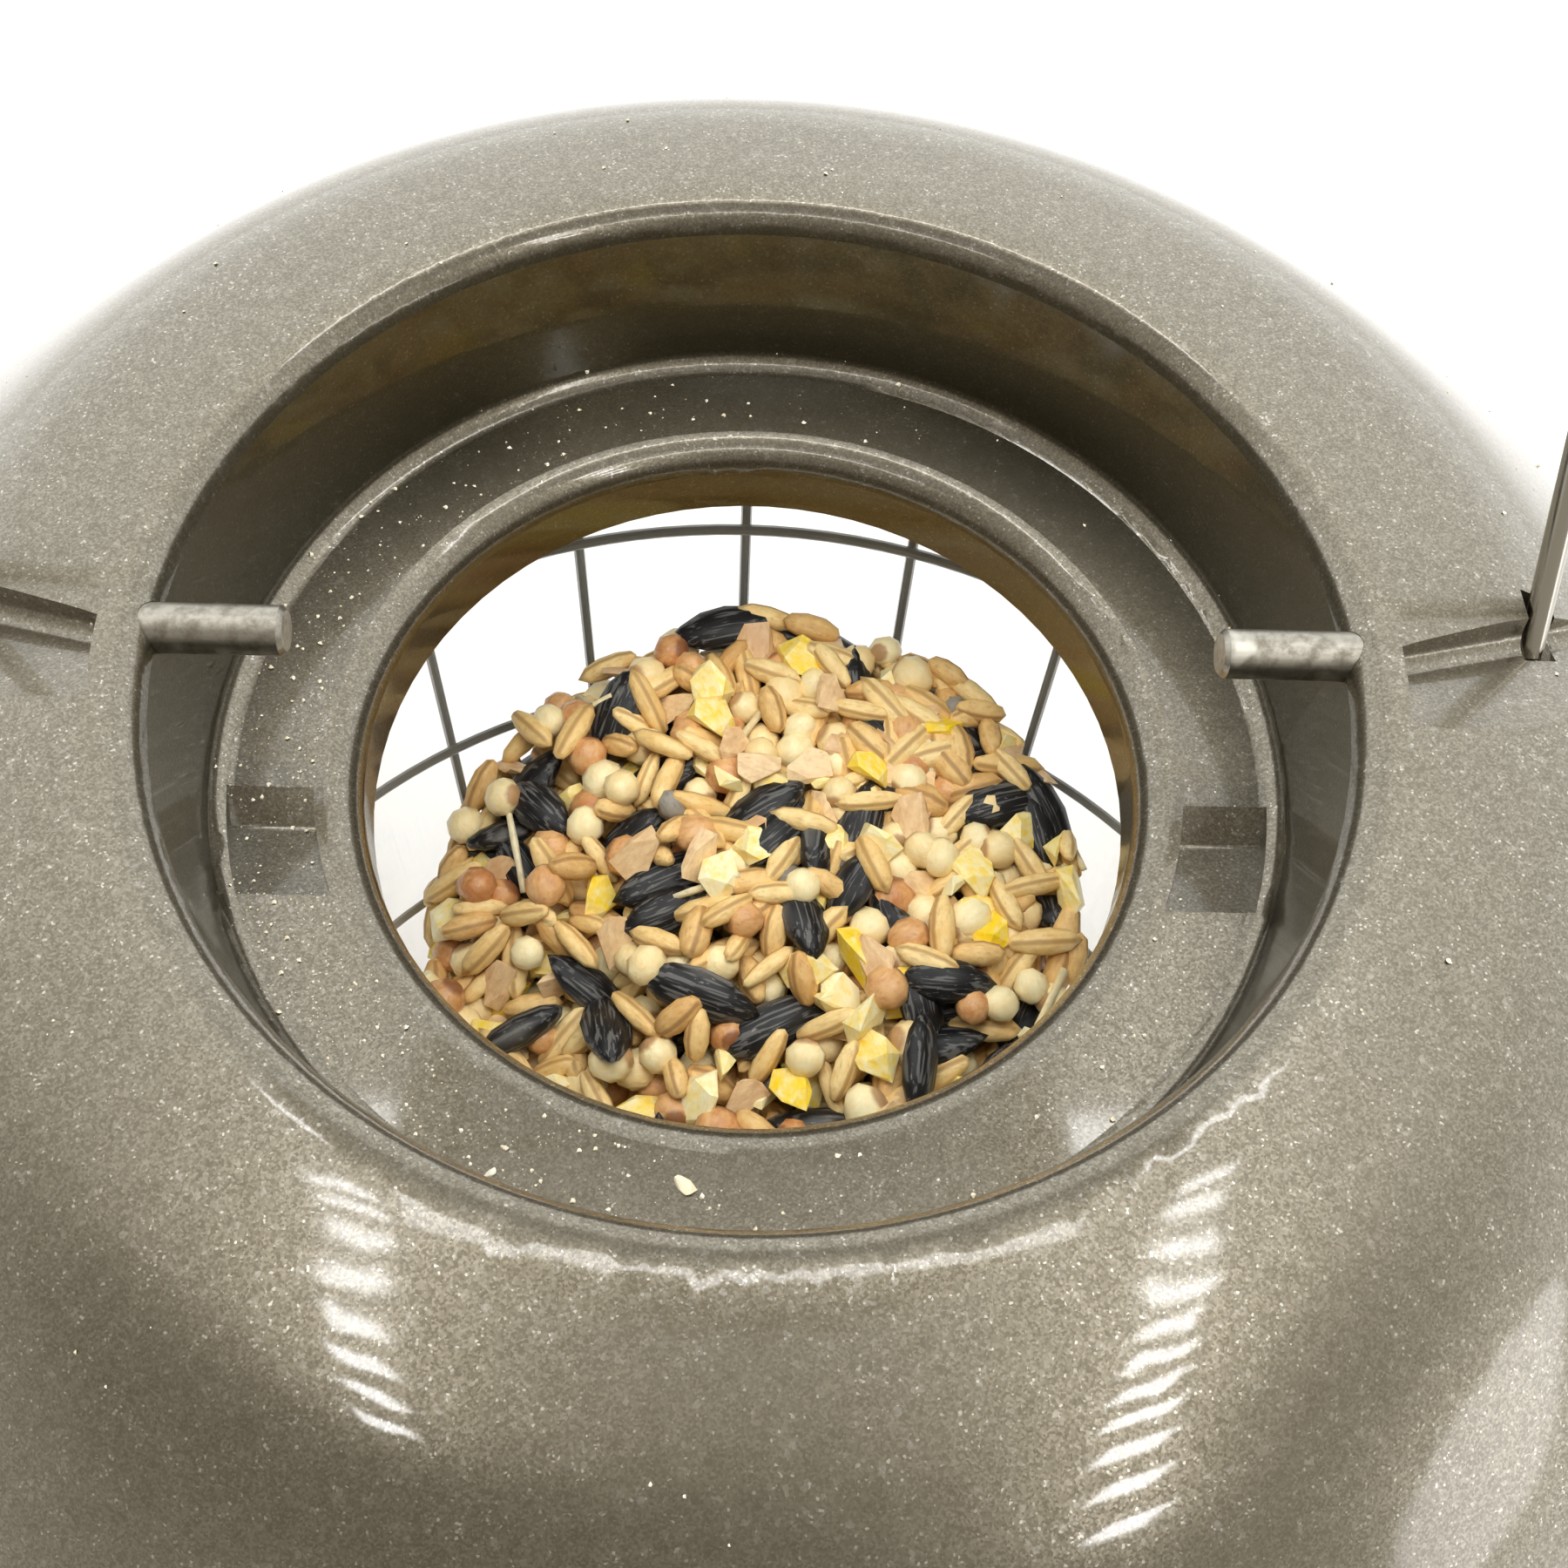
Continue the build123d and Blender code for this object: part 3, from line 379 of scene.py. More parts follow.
def skin_finish(name, tones, crease=0.0, spot=0.0, streaks=0.5, roughness=0.45, coat=0.0):
    """A seed's skin: two tones that differ from seed to seed, with painted shade along the crease, a spot and
    fine streaks.
    """
    pale, warm, dark = (tone + (1,) for tone in tones)
    finish = Finish(name)
    tone = finish.attribute("tone")
    skin = finish.attribute("skin", "Vector")
    along, across, up = (finish.split(skin, axis) for axis in "XYZ")
    shift = finish.joined(along * 0.35, across + tone * 31, up - tone * 17)
    fibre = finish.noise(2.6, 3, 0.6, shift)
    blotch = finish.noise(0.5, 3, 0.55, finish.shifted(skin, shift))
    colour = finish.mix((tone * 0.6 + blotch * 1.5 - 0.55).step(0.0, 1.0), pale, warm)
    colour = finish.mix(fibre.step(0.5, 0.8) * streaks, colour, dark)
    if crease:
        # Painted shade: a dark line along the top of the seed stands for the shadow in its crease, which the
        # shape lacks
        line = (1 - across.maths("ABSOLUTE").step(0.08, 0.42)) * up.step(0.1, 0.7)
        colour = finish.mix(line * crease, colour, dark)
    if spot:
        colour = finish.mix(along.step(1.45, 1.95) * spot, colour, dark)
    return finish.surface(
        Base_Color=colour,
        Roughness=fibre * 0.2 + roughness,
        Coat_Weight=coat,
        Normal=finish.bump(fibre * 0.6 + blotch, 0.00025, 0.5),
    )


def husk_finish():
    """Black sunflower husk with fine grey lines along it and pale scuffs."""
    black = (0.008, 0.008, 0.009, 1)
    grey_line = (0.16, 0.155, 0.145, 1)
    pale_scuff = (0.50, 0.47, 0.42, 1)
    finish = Finish("sunflower_husk")
    tone = finish.attribute("tone")
    skin = finish.attribute("skin", "Vector")
    along, across, up = (finish.split(skin, axis) for axis in "XYZ")
    shift = finish.joined(along * 0.08, across * 1.9 + tone * 23, up * 1.2)
    lines = finish.noise(1.5, 1.5, 0.5, shift)
    stripe = lines.step(0.52, 0.62)
    rub = finish.noise(0.9, 4, 0.7, finish.shifted(skin, shift)).step(0.60, 0.72)
    edge = across.maths("ABSOLUTE").step(2.0, 2.8) * tone.step(0.35, 0.9)
    colour = finish.mix(stripe * 0.7, black, grey_line)
    colour = finish.mix(rub * 0.4 + edge * 0.25, colour, pale_scuff)
    return finish.surface(
        Base_Color=colour,
        Roughness=rub * 0.25 + lines * 0.25 + 0.28,
        Normal=finish.bump(lines + rub * 0.3, 0.00006, 0.5),
    )


def mass_finish():
    """The mass of seed below the outer layers, in painted light and shade: lit spots among dark painted shade.
    """
    lit = (0.30, 0.21, 0.10, 1)
    shaded = (0.06, 0.045, 0.03, 1)
    finish = Finish("seed_mass")
    spots = finish.noise(260, 4, 0.6)
    return finish.surface(
        Base_Color=finish.mix(spots.step(0.35, 0.6), lit, shaded),
        Roughness=spots * 0.2 + 0.6,
        Normal=finish.bump(spots, 0.0006, 0.8),
    )


def paint(names, material):
    """Gives CAD nodes a finish in every material slot."""
    for name in names:
        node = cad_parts[name]
        for index in range(max(1, len(node.material_slots))):
            if index < len(node.material_slots):
                node.material_slots[index].material = material
            else:
                node.data.materials.append(material)


def even_normals(node):
    """Gives the top of the roof the normals of its turned profile, so that highlights run evenly."""
    corners_per_group = 300
    farthest_off = 0.12
    mesh = node.data
    corners = np.empty(len(mesh.loops), dtype=int)
    mesh.loops.foreach_get("vertex_index", corners)
    places = np.empty(len(mesh.vertices) * 3)
    mesh.vertices.foreach_get("co", places)
    places = places.reshape(-1, 3)[corners, :2]
    normals = np.empty(len(mesh.loops) * 3)
    mesh.corner_normals.foreach_get("vector", normals)
    normals = normals.reshape(-1, 3)
    out = np.linalg.norm(places, axis=1)
    radial = places / out[:, None]
    outward = (normals[:, :2] * radial).sum(axis=1)
    sideways = np.abs(normals[:, 1] * radial[:, 0] - normals[:, 0] * radial[:, 1])
    turned = np.flatnonzero((normals[:, 2] > 0.1) & (out > WELL_RADIUS) & (sideways < farthest_off))
    groups = np.array_split(turned[np.argsort(out[turned])], len(turned) // corners_per_group)
    centres = [np.median(out[group]) for group in groups]
    profile = np.interp(out, centres, [np.median(outward[group]) for group in groups])
    turned = turned[np.abs(outward - profile)[turned] < farthest_off]
    level = np.sqrt(1 - profile[turned] ** 2)
    normals[turned] = np.column_stack((radial[turned] * profile[turned, None], level))
    mesh.normals_split_custom_set(normals.tolist())


def mesh_piece(name, vertices, faces, material, smooth=True):
    """A new mesh object at the origin."""
    mesh = bpy.data.meshes.new(name)
    mesh.from_pydata([tuple(v) for v in vertices], [], [tuple(f) for f in faces])
    mesh.update()
    mesh.polygons.foreach_set("use_smooth", [smooth] * len(mesh.polygons))
    mesh.materials.append(material)
    made = bpy.data.objects.new(name, mesh)
    bpy.context.scene.collection.objects.link(made)
    return made


def turned_shape(profile, sides, squash=1.0):
    """Vertices and faces of a closed seed turned about X from (x, radius) pairs, in millimetres."""
    vertices = [(profile[0][0], 0, 0)]
    for x, radius in profile[1:-1]:
        for k in range(sides):
            turn = 2 * math.pi * k / sides
            vertices.append((x, radius * math.cos(turn), radius * squash * math.sin(turn)))
    vertices.append((profile[-1][0], 0, 0))
    faces = []
    rings = len(profile) - 2
    for k in range(sides):
        after = (k + 1) % sides
        faces.append((0, 1 + after, 1 + k))
        for ring in range(rings - 1):
            low = 1 + ring * sides
            faces.append((low + k, low + after, low + sides + after, low + sides + k))
        last = 1 + (rings - 1) * sides
        faces.append((last + k, last + after, len(vertices) - 1))
    return vertices, faces


def chip_shape(draw, length, width, thickness, corners):
    """Vertices and faces of a broken chip: the hull of points drawn on a rough block, in millimetres."""
    body = bmesh.new()
    for _ in range(corners):
        way = draw.normal(0, 1, 3)
        way = way / np.abs(way).max() * draw.uniform(0.75, 1.0)
        body.verts.new((way[0] * length / 2, way[1] * width / 2, way[2] * thickness / 2))
    hull = bmesh.ops.convex_hull(body, input=body.verts)
    inner = list(set(hull["geom_interior"] + hull["geom_unused"]))
    bmesh.ops.delete(body, geom=inner, context="VERTS")
    body.verts.index_update()
    vertices = [tuple(v.co) for v in body.verts]
    faces = [tuple(v.index for v in face.verts) for face in body.faces]
    body.free()
    return vertices, faces


# Share of each kind in the mix, and its length, width and thickness in millimetres
SEED_KINDS = {
    "sunflower": (0.070, 11.4, 5.6, 3.7),
    "oat": (0.280, 7.9, 2.9, 2.5),
    "wheat": (0.165, 6.5, 3.2, 2.9),
    "sorghum_cream": (0.150, 4.9, 4.8, 4.3),
    "sorghum_brown": (0.075, 4.7, 4.6, 4.1),
    "maize": (0.085, 7.0, 5.2, 3.6),
    "grit": (0.040, 4.2, 3.4, 2.8),
    "flake": (0.085, 6.0, 4.6, 1.5),
    "hemp": (0.020, 3.6, 3.1, 2.9),
    "straw": (0.028, 10.5, 1.1, 0.9),
}

# Outlines of the whole seeds, from end to end: place along the seed and radius there, in millimetres
SUNFLOWER = ((-5.7, 0), (-5.2, 1.1), (-3.6, 2.2), (-1.0, 2.8), (1.8, 2.5), (4.2, 1.3), (5.7, 0))
OAT = ((-3.95, 0), (-3.5, 0.75), (-1.8, 1.3), (0.6, 1.45), (2.6, 1.1), (3.95, 0))
WHEAT = ((-3.25, 0), (-2.9, 0.8), (-1.3, 1.55), (0.8, 1.6), (2.5, 1.1), (3.25, 0))
SORGHUM = ((-2.4, 0), (-2.0, 1.25), (-0.8, 2.25), (0.7, 2.3), (1.9, 1.2), (2.2, 0))
HEMP = ((-1.8, 0), (-1.2, 1.1), (0, 1.55), (1.1, 1.2), (1.8, 0))
STRAW = ((-5.2, 0), (-5.1, 0.4), (-1.5, 0.5), (2.0, 0.42), (5.2, 0.5), (5.3, 0))

# Whole seeds: outline, number of sides, and thickness as a share of the width
WHOLE_SEEDS = {
    "sunflower": (SUNFLOWER, 10, 0.66),
    "oat": (OAT, 8, 0.86),
    "wheat": (WHEAT, 8, 0.9),
    "sorghum_cream": (SORGHUM, 9, 0.92),
    "sorghum_brown": (SORGHUM, 9, 0.9),
    "hemp": (HEMP, 7, 0.93),
    "straw": (STRAW, 5, 0.7),
}

# Broken seeds, and the number of corners drawn for each one's chip
BROKEN_SEEDS = {"maize": 14, "grit": 12, "flake": 12}

# Pale, warm and dark tone of the yellow of maize
MAIZE_YELLOW = ((0.98, 0.68, 0.012), (0.98, 0.90, 0.58), (0.84, 0.46, 0.01))

# Skin of each kind of seed but the sunflower: its name, its pale, warm and dark tones, and the rest
SEED_SKINS = {
    "oat": (
        "oat_skin", ((0.96, 0.75, 0.36), (0.82, 0.53, 0.19), (0.42, 0.22, 0.06)),
        {"crease": 0.75},
    ),
    "wheat": (
        "wheat_skin", ((0.88, 0.61, 0.25), (0.66, 0.37, 0.12), (0.30, 0.14, 0.04)),
        {"crease": 0.7},
    ),
    "sorghum_cream": (
        "cream_sorghum_skin", ((0.98, 0.87, 0.52), (0.93, 0.70, 0.33), (0.38, 0.17, 0.06)),
        {"spot": 0.8, "streaks": 0.12, "roughness": 0.3, "coat": 0.3},
    ),
    "sorghum_brown": (
        "brown_sorghum_skin", ((0.80, 0.47, 0.20), (0.55, 0.22, 0.07), (0.20, 0.06, 0.02)),
        {"spot": 0.8, "streaks": 0.3, "roughness": 0.3, "coat": 0.3},
    ),
    "maize": (
        "cracked_maize", MAIZE_YELLOW,
        {"streaks": 0.2, "roughness": 0.35, "coat": 0.2},
    ),
    "grit": (
        "maize_grit", (MAIZE_YELLOW[1], (0.96, 0.78, 0.25), MAIZE_YELLOW[2]),
        {"streaks": 0.15, "roughness": 0.4},
    ),
    "flake": (
        "broken_grain", ((0.90, 0.68, 0.38), (0.70, 0.43, 0.21), (0.36, 0.19, 0.08)),
        {"streaks": 0.35, "roughness": 0.35},
    ),
    "hemp": (
        "hemp_skin", ((0.36, 0.33, 0.27), (0.22, 0.19, 0.15), (0.08, 0.07, 0.05)),
        {"roughness": 0.35},
    ),
    "straw": (
        "straw", ((0.90, 0.82, 0.55), (0.76, 0.62, 0.32), (0.50, 0.36, 0.16)),
        {"streaks": 0.5},
    ),
}


def seed_shapes(draw):
    """One low-faced mesh for each kind of seed."""
    shapes = {}
    for name, (_, *sizes) in SEED_KINDS.items():
        if name in WHOLE_SEEDS:
            shapes[name] = turned_shape(*WHOLE_SEEDS[name])
        else:
            shapes[name] = chip_shape(draw, *sizes, BROKEN_SEEDS[name])
    return shapes


def seed_finishes():
    """The skin of each kind of seed."""
    finishes = {"sunflower": husk_finish()}
    for kind, (name, tones, settings) in SEED_SKINS.items():
        finishes[kind] = skin_finish(name, tones, **settings)
    return finishes


def heap_height(x, y, crown):
    """Height of the seed heap: lowest at the left of the tube, with a few slow hollows."""
    out = np.hypot(x, y) / SEED_RADIUS
    lean = (x * math.cos(HEAP_LEAN) + y * math.sin(HEAP_LEAN)) / SEED_RADIUS
    hollows = np.sin(x * 190 + 1.3) * np.cos(y * 150 - 0.4) * 1.1 * MM
    return HEAP_EDGE + HEAP_RISE * lean + crown * (1 - out ** 2) + hollows * (1 - out ** 4)


def draw_kinds(draw, count):
    """Names of kinds of seed, drawn by their shares."""
    names = list(SEED_KINDS)
    shares = np.array([SEED_KINDS[name][0] for name in names])
    return [names[index] for index in draw.choice(len(names), size=count, p=shares / shares.sum())]


def settle(points, reach, limit):
    """Keeps the points that are far enough from those kept before, by their own reach."""
    kept = []
    places = np.empty((limit, 3))
    reaches = np.empty(limit)
    for index, point in enumerate(points):
        count = len(kept)
        if count == limit:
            break
        apart = np.linalg.norm(places[:count] - point, axis=1)
        if np.all(apart > reaches[:count] + reach[index]):
            places[count] = point
            reaches[count] = reach[index]
            kept.append(index)
    return kept


def facing_turn(normal, yaw, tilt):
    """Euler turn that lays a seed's flat side on a surface with this normal."""
    anywhere = Vector((0.13, 0.29, 0.94))
    normal = Vector(normal).normalized()
    side = normal.cross(anywhere).normalized()
    base = Matrix((side, normal.cross(side), normal)).transposed()
    return (base @ Matrix.Rotation(yaw, 3, "Z") @ Matrix.Rotation(tilt, 3, "Y")).to_euler()


class Pile:
    """The heap while seed is poured on it: its height so far and in the end, on a grid across the tube."""

    cell = 0.5 * MM
    half = 84
    pour_depth = 9.0 * MM

    def __init__(self, crown):
        line = (np.arange(2 * self.half + 1) - self.half) * self.cell
        self.across, self.along = np.meshgrid(line, line)
        self.target = heap_height(self.across, self.along, crown)
        self.height = self.target - self.pour_depth

    def level(self, x, y):
        """Height of the pile at a place."""
        return self.height[int(round(y / self.cell)) + self.half, int(round(x / self.cell)) + self.half]

    def lowest(self, out, around):
        """Index of the place that lies furthest below the finished heap."""
        rows = np.round(out * np.sin(around) / self.cell).astype(int) + self.half
        columns = np.round(out * np.cos(around) / self.cell).astype(int) + self.half
        return int(np.argmax((self.target - self.height)[rows, columns]))

    def slope(self, x, y, way, reach, steepest):
        """Slope under a seed along one way, and the mean height under its two ends."""
        near, far = (self.level(*(np.array((x, y)) + step * 0.6 * reach * way)) for step in (-1, 1))
        return np.clip((far - near) / (1.2 * reach), -steepest, steepest), (near + far) / 2

    def cover(self, place, ahead, aside, sizes, slopes):
        """Raises the pile to the upper side of a seed that lies at a place."""
        x, y, z = place
        long, wide, deep = sizes
        pitch, roll = slopes
        u = (self.across - x) * ahead[0] + (self.along - y) * ahead[1]
        v = (self.across - x) * aside[0] + (self.along - y) * aside[1]
        inside = 1 - (u / long) ** 2 - (v / wide) ** 2
        top = z + deep * np.sqrt(np.maximum(inside, 0)) + pitch * u + roll * v
        self.height = np.where((inside > 0) & (top > self.height), top, self.height)


def planting_tree():
    """Node tree that puts one seed shape on every point, turned and sized by the points' attributes."""
    tree = bpy.data.node_groups.new("plant_seeds", "GeometryNodeTree")
    face = tree.interface
    face.new_socket("Geometry", in_out="INPUT", socket_type="NodeSocketGeometry")
    face.new_socket("Seed shape", in_out="INPUT", socket_type="NodeSocketObject")
    face.new_socket("Skin", in_out="INPUT", socket_type="NodeSocketMaterial")
    face.new_socket("Geometry", in_out="OUTPUT", socket_type="NodeSocketGeometry")
    nodes, link = tree.nodes, tree.links.new
    entry = nodes.new("NodeGroupInput")
    leave = nodes.new("NodeGroupOutput")
    shape = nodes.new("GeometryNodeObjectInfo")
    plant_on = nodes.new("GeometryNodeInstanceOnPoints")
    realise = nodes.new("GeometryNodeRealizeInstances")
    dress = nodes.new("GeometryNodeSetMaterial")
    for attribute, socket in (("turn", "Rotation"), ("size", "Scale")):
        named = nodes.new("GeometryNodeInputNamedAttribute")
        named.data_type = "FLOAT_VECTOR"
        named.inputs["Name"].default_value = attribute
        link(named.outputs["Attribute"], plant_on.inputs[socket])
    link(entry.outputs["Seed shape"], shape.inputs["Object"])
    link(entry.outputs["Geometry"], plant_on.inputs["Points"])
    link(shape.outputs["Geometry"], plant_on.inputs["Instance"])
    link(plant_on.outputs["Instances"], realise.inputs["Geometry"])
    link(realise.outputs["Geometry"], dress.inputs["Geometry"])
    link(entry.outputs["Skin"], dress.inputs["Material"])
    link(dress.outputs["Geometry"], leave.inputs["Geometry"])
    return tree


def seed_shape(name, vertices, faces, material):
    """A mesh to plant, drawn in millimetres, which keeps its own coordinates as the skin attribute."""
    made = mesh_piece(name, [[c * MM for c in v] for v in vertices], faces, material)
    skin = made.data.attributes.new("skin", "FLOAT_VECTOR", "POINT")
    skin.data.foreach_set("vector", np.asarray(vertices, dtype=float).ravel())
    return made


def seed_points(name, rows):
    """Points that hold the place, turn, size and tone of each seed to plant."""
    places, turns, sizes, tones = zip(*rows)
    mesh = bpy.data.meshes.new(name)
    mesh.from_pydata([tuple(p) for p in places], [], [])
    for key, values in (("turn", turns), ("size", sizes)):
        attribute = mesh.attributes.new(key, "FLOAT_VECTOR", "POINT")
        attribute.data.foreach_set("vector", np.asarray(values, dtype=float).ravel())
    tone = mesh.attributes.new("tone", "FLOAT", "POINT")
    tone.data.foreach_set("value", np.asarray(tones, dtype=float))
    made = bpy.data.objects.new(name, mesh)
    bpy.context.scene.collection.objects.link(made)
    return made


def plant(name, tree, shape, material, rows, smooth):
    """A plain mesh piece of one kind of seed at every row's place, turn, size and tone."""
    seed = seed_shape(name + "_shape", *shape, material)
    points = seed_points(name + "_points", rows)
    modifier = points.modifiers.new("plant", "NODES")
    modifier.node_group = tree
    sockets = {item.name: item.identifier for item in tree.interface.items_tree if item.in_out == "INPUT"}
    modifier[sockets["Seed shape"]] = seed
    modifier[sockets["Skin"]] = material
    graph = bpy.context.evaluated_depsgraph_get()
    result = bpy.data.meshes.new_from_object(points.evaluated_get(graph))
    result.name = name
    for helper in (points, seed):
        bpy.data.objects.remove(helper)
    for key in ("turn", "size"):
        if key in result.attributes:
            result.attributes.remove(result.attributes[key])
    result.polygons.foreach_set("use_smooth", [smooth] * len(result.polygons))
    made = bpy.data.objects.new(name, result)
    bpy.context.scene.collection.objects.link(made)
    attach(made, "feeder")


class FEEDER_OT_roof(bpy.types.Operator):
    """Dress the roof, the tray and the lid in metal-flake plastic"""

    bl_idname = "feeder.roof"
    bl_label = "Roof, tray and lid"

    def execute(self, context):
        material = pewter_finish(context.scene.feeder_finishes)
        paint(["dome_roof", "lid_cap", "seed_tray"], material)
        even_normals(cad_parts["dome_roof"])
        return {"FINISHED"}


class FEEDER_OT_metal(bpy.types.Operator):
    """Dress the cage, the bail, the pins and the screws"""

    bl_idname = "feeder.metal"
    bl_label = "Cage, bail and pins"

    def execute(self, context):
        colours = context.scene.feeder_finishes
        hoops = [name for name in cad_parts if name.startswith("cage_hoop")]
        paint(["cage_wires", *hoops], cage_finish(colours))
        pins = ["lid_pin_left", "lid_pin_right"]
        paint(pins, steel_finish("turned_pin_steel", colours, (60, 2600, 2600), wear=0.9))
        wire = ["bail", "bail_stops"]
        paint(wire, steel_finish("drawn_bail_wire", colours, (260, 260, 260), contrast=0.3))
        screws = [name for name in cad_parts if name.endswith(("_screw", "_screws"))]
        paint([*screws, "tray_bolt", "tray_washer"], steel_finish("screw_steel", colours, (700, 700, 700)))
        return {"FINISHED"}


class FEEDER_OT_plastic(bpy.types.Operator):
    """Dress the tube, the seals, the ports and the other moulded pieces"""

    bl_idname = "feeder.plastic"
    bl_label = "Tube, seals and ports"

    def execute(self, context):
        colours = context.scene.feeder_finishes
        paint(["seed_tube"], clear_finish(colours))
        paint(["lid_seal", "tube_gasket"], rubber_finish())
        ports = [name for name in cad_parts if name.startswith(("port_", "perch_"))]
        paint(ports, moulded_finish("port_plastic", (0.055, 0.05, 0.042)))
        moulded = ["tube_foot", "seed_baffle", "roof_clips", "tray_clips", "wing_nut", "lid_plate", "lid_grip"]
        paint(moulded, moulded_finish("dark_moulded_plastic", (0.06, 0.056, 0.048), 0.4))
        return {"FINISHED"}


class FEEDER_OT_seed(bpy.types.Operator):
    """Fill the tube with mixed seed"""

    bl_idname = "feeder.seed"
    bl_label = "Mixed seed"

    # Places tried for each poured seed, and how far its thickness stands out of the pile
    landings = 12
    standing = 0.78

    # The layer at the wall: a seed's own reach as a share of its mean size, and the most seeds
    crowding = 0.44
    side_limit = 2400

    def execute(self, context):
        amounts = context.scene.feeder_seeds
        draw = np.random.default_rng(amounts.seed)
        shapes = seed_shapes(draw)
        finishes = seed_finishes()
        tree = planting_tree()
        groups = {}
        self.pour(draw, amounts, groups)
        self.side_layer(draw, amounts, groups)
        for name, shape in shapes.items():
            for zone in ("heap", "fill"):
                rows = groups.get((zone, name))
                if rows:
                    plant(f"{zone}_{name}", tree, shape, finishes[name], rows, name in WHOLE_SEEDS)
        bpy.data.node_groups.remove(tree)
        self.core(amounts)
        return {"FINISHED"}

    def pour(self, draw, amounts, groups):
        """Drops seeds on the heap one by one: each lands where the heap is lowest and lies on its slope."""
        pile = Pile(amounts.crown)
        for name in draw_kinds(draw, amounts.heap_seeds):
            size = draw.uniform(0.92, 1.2)
            long, wide, deep = (c * size * MM / 2 for c in SEED_KINDS[name][1:])
            out = np.sqrt(draw.uniform(0, 1, self.landings)) * (SEED_RADIUS - wide - 0.3 * MM)
            around = draw.uniform(0, 2 * math.pi, self.landings)
            best = pile.lowest(out, around)
            x, y = out[best] * math.cos(around[best]), out[best] * math.sin(around[best])
            yaw = draw.uniform(0, 2 * math.pi)
            if out[best] + long > SEED_RADIUS:
                yaw = around[best] + math.pi / 2 + draw.normal(0, 0.12)
            ahead = np.array((math.cos(yaw), math.sin(yaw)))
            aside = np.array((-ahead[1], ahead[0]))
            pitch, ends = pile.slope(x, y, ahead, long, 0.75)
            roll, sides = pile.slope(x, y, aside, wide, 0.6)
            base = max(pile.level(x, y), ends, sides)
            z = min(base + deep * self.standing, SEED_HIGH.z - long * abs(pitch) - deep)
            nose = Vector((*ahead, pitch)).normalized()
            flank = Vector((*aside, roll))
            flank = (flank - nose * flank.dot(nose)).normalized()
            turn = Matrix((nose, flank, nose.cross(flank))).transposed()
            turn = turn @ Matrix.Rotation(draw.normal(0, 0.45), 3, "X")
            sizes = (size * draw.uniform(0.92, 1.1), size * draw.uniform(0.94, 1.06), size)
            rows = groups.setdefault(("heap", name), [])
            rows.append(((x, y, z), tuple(turn.to_euler()), sizes, draw.uniform()))
            pile.cover((x, y, z), ahead, aside, (long, wide, deep), (pitch, roll))

    def side_layer(self, draw, amounts, groups):
        """One crowded layer against the tube's wall, which shows from the side."""
        count = amounts.side_tries
        kinds = draw_kinds(draw, count)
        sizes = np.array([SEED_KINDS[name][1:] for name in kinds])
        reach = self.crowding * np.sqrt(sizes[:, 0] * sizes[:, 1]) * MM
        around = draw.uniform(0, 2 * math.pi, count)
        out = SEED_RADIUS - sizes[:, 2] * 0.62 * MM - draw.uniform(0, 0.8, count) * MM
        z = draw.uniform(FILL_FOOT, SIDE_TOP, count)
        points = np.column_stack((out * np.cos(around), out * np.sin(around), z))
        for index in settle(points, reach, self.side_limit):
            normal = (math.cos(around[index]), math.sin(around[index]), 0)
            turn = facing_turn(normal, draw.uniform(0, 2 * math.pi), draw.normal(0, 0.1))
            size = draw.uniform(0.86, 1.06)
            rows = groups.setdefault(("fill", kinds[index]), [])
            rows.append((points[index], tuple(turn), (size,) * 3, draw.uniform()))

    def core(self, amounts):
        """The mass of seed behind the outer layers, painted dark as shade, which stands for the CAD solid."""
        rings, sides = 14, 48
        ways = [(math.cos(2 * math.pi * k / sides), math.sin(2 * math.pi * k / sides)) for k in range(sides)]
        vertices, faces = [], []
        for ring in range(rings):
            out = CORE_RADIUS * ring / (rings - 1)
            for x, y in ways:
                height = float(heap_height(out * x, out * y, amounts.crown)) - CORE_SINK
                vertices.append((out * x, out * y, height))
        for height in (CORE_SHOULDER, FILL_FOOT):
            vertices.extend((CORE_RADIUS * x, CORE_RADIUS * y, height) for x, y in ways)
        for low in range(0, (rings + 1) * sides, sides):
            for k in range(sides):
                after = (k + 1) % sides
                faces.append((low + k, low + sides + k, low + sides + after, low + after))
        faces.append(tuple(reversed(range((rings + 1) * sides, (rings + 2) * sides))))
        made = mesh_piece("seed_core", vertices, faces, mass_finish())
        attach(made, "feeder")
        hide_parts("seed_mix")


# Dust on the ledge, the wall's foot and the roof: draw below which a speck falls there, and radii in mm
LEDGE_SHARE = 0.62
DUST_ZONES = ((LEDGE_SHARE, 43.5, 53.2), (0.75, 53.3, 54.9), (1.0, 58, 116))
LEDGE_DUST_SIDE = math.radians(200)
DUST_TONES = ((0.95, 0.90, 0.74), (0.85, 0.74, 0.50), (0.62, 0.48, 0.28))
SPECK = (1.0, 0.62, 0.4)

# Larger crumbs on the ledge: place across and along in millimetres, and length, width and thickness
CRUMBS = ((-5.4, -45.7, 2.3, 1.8, 0.7), (-22.6, -44.9, 1.2, 0.9, 0.5), (-21.5, -42.6, 0.8, 0.6, 0.4))


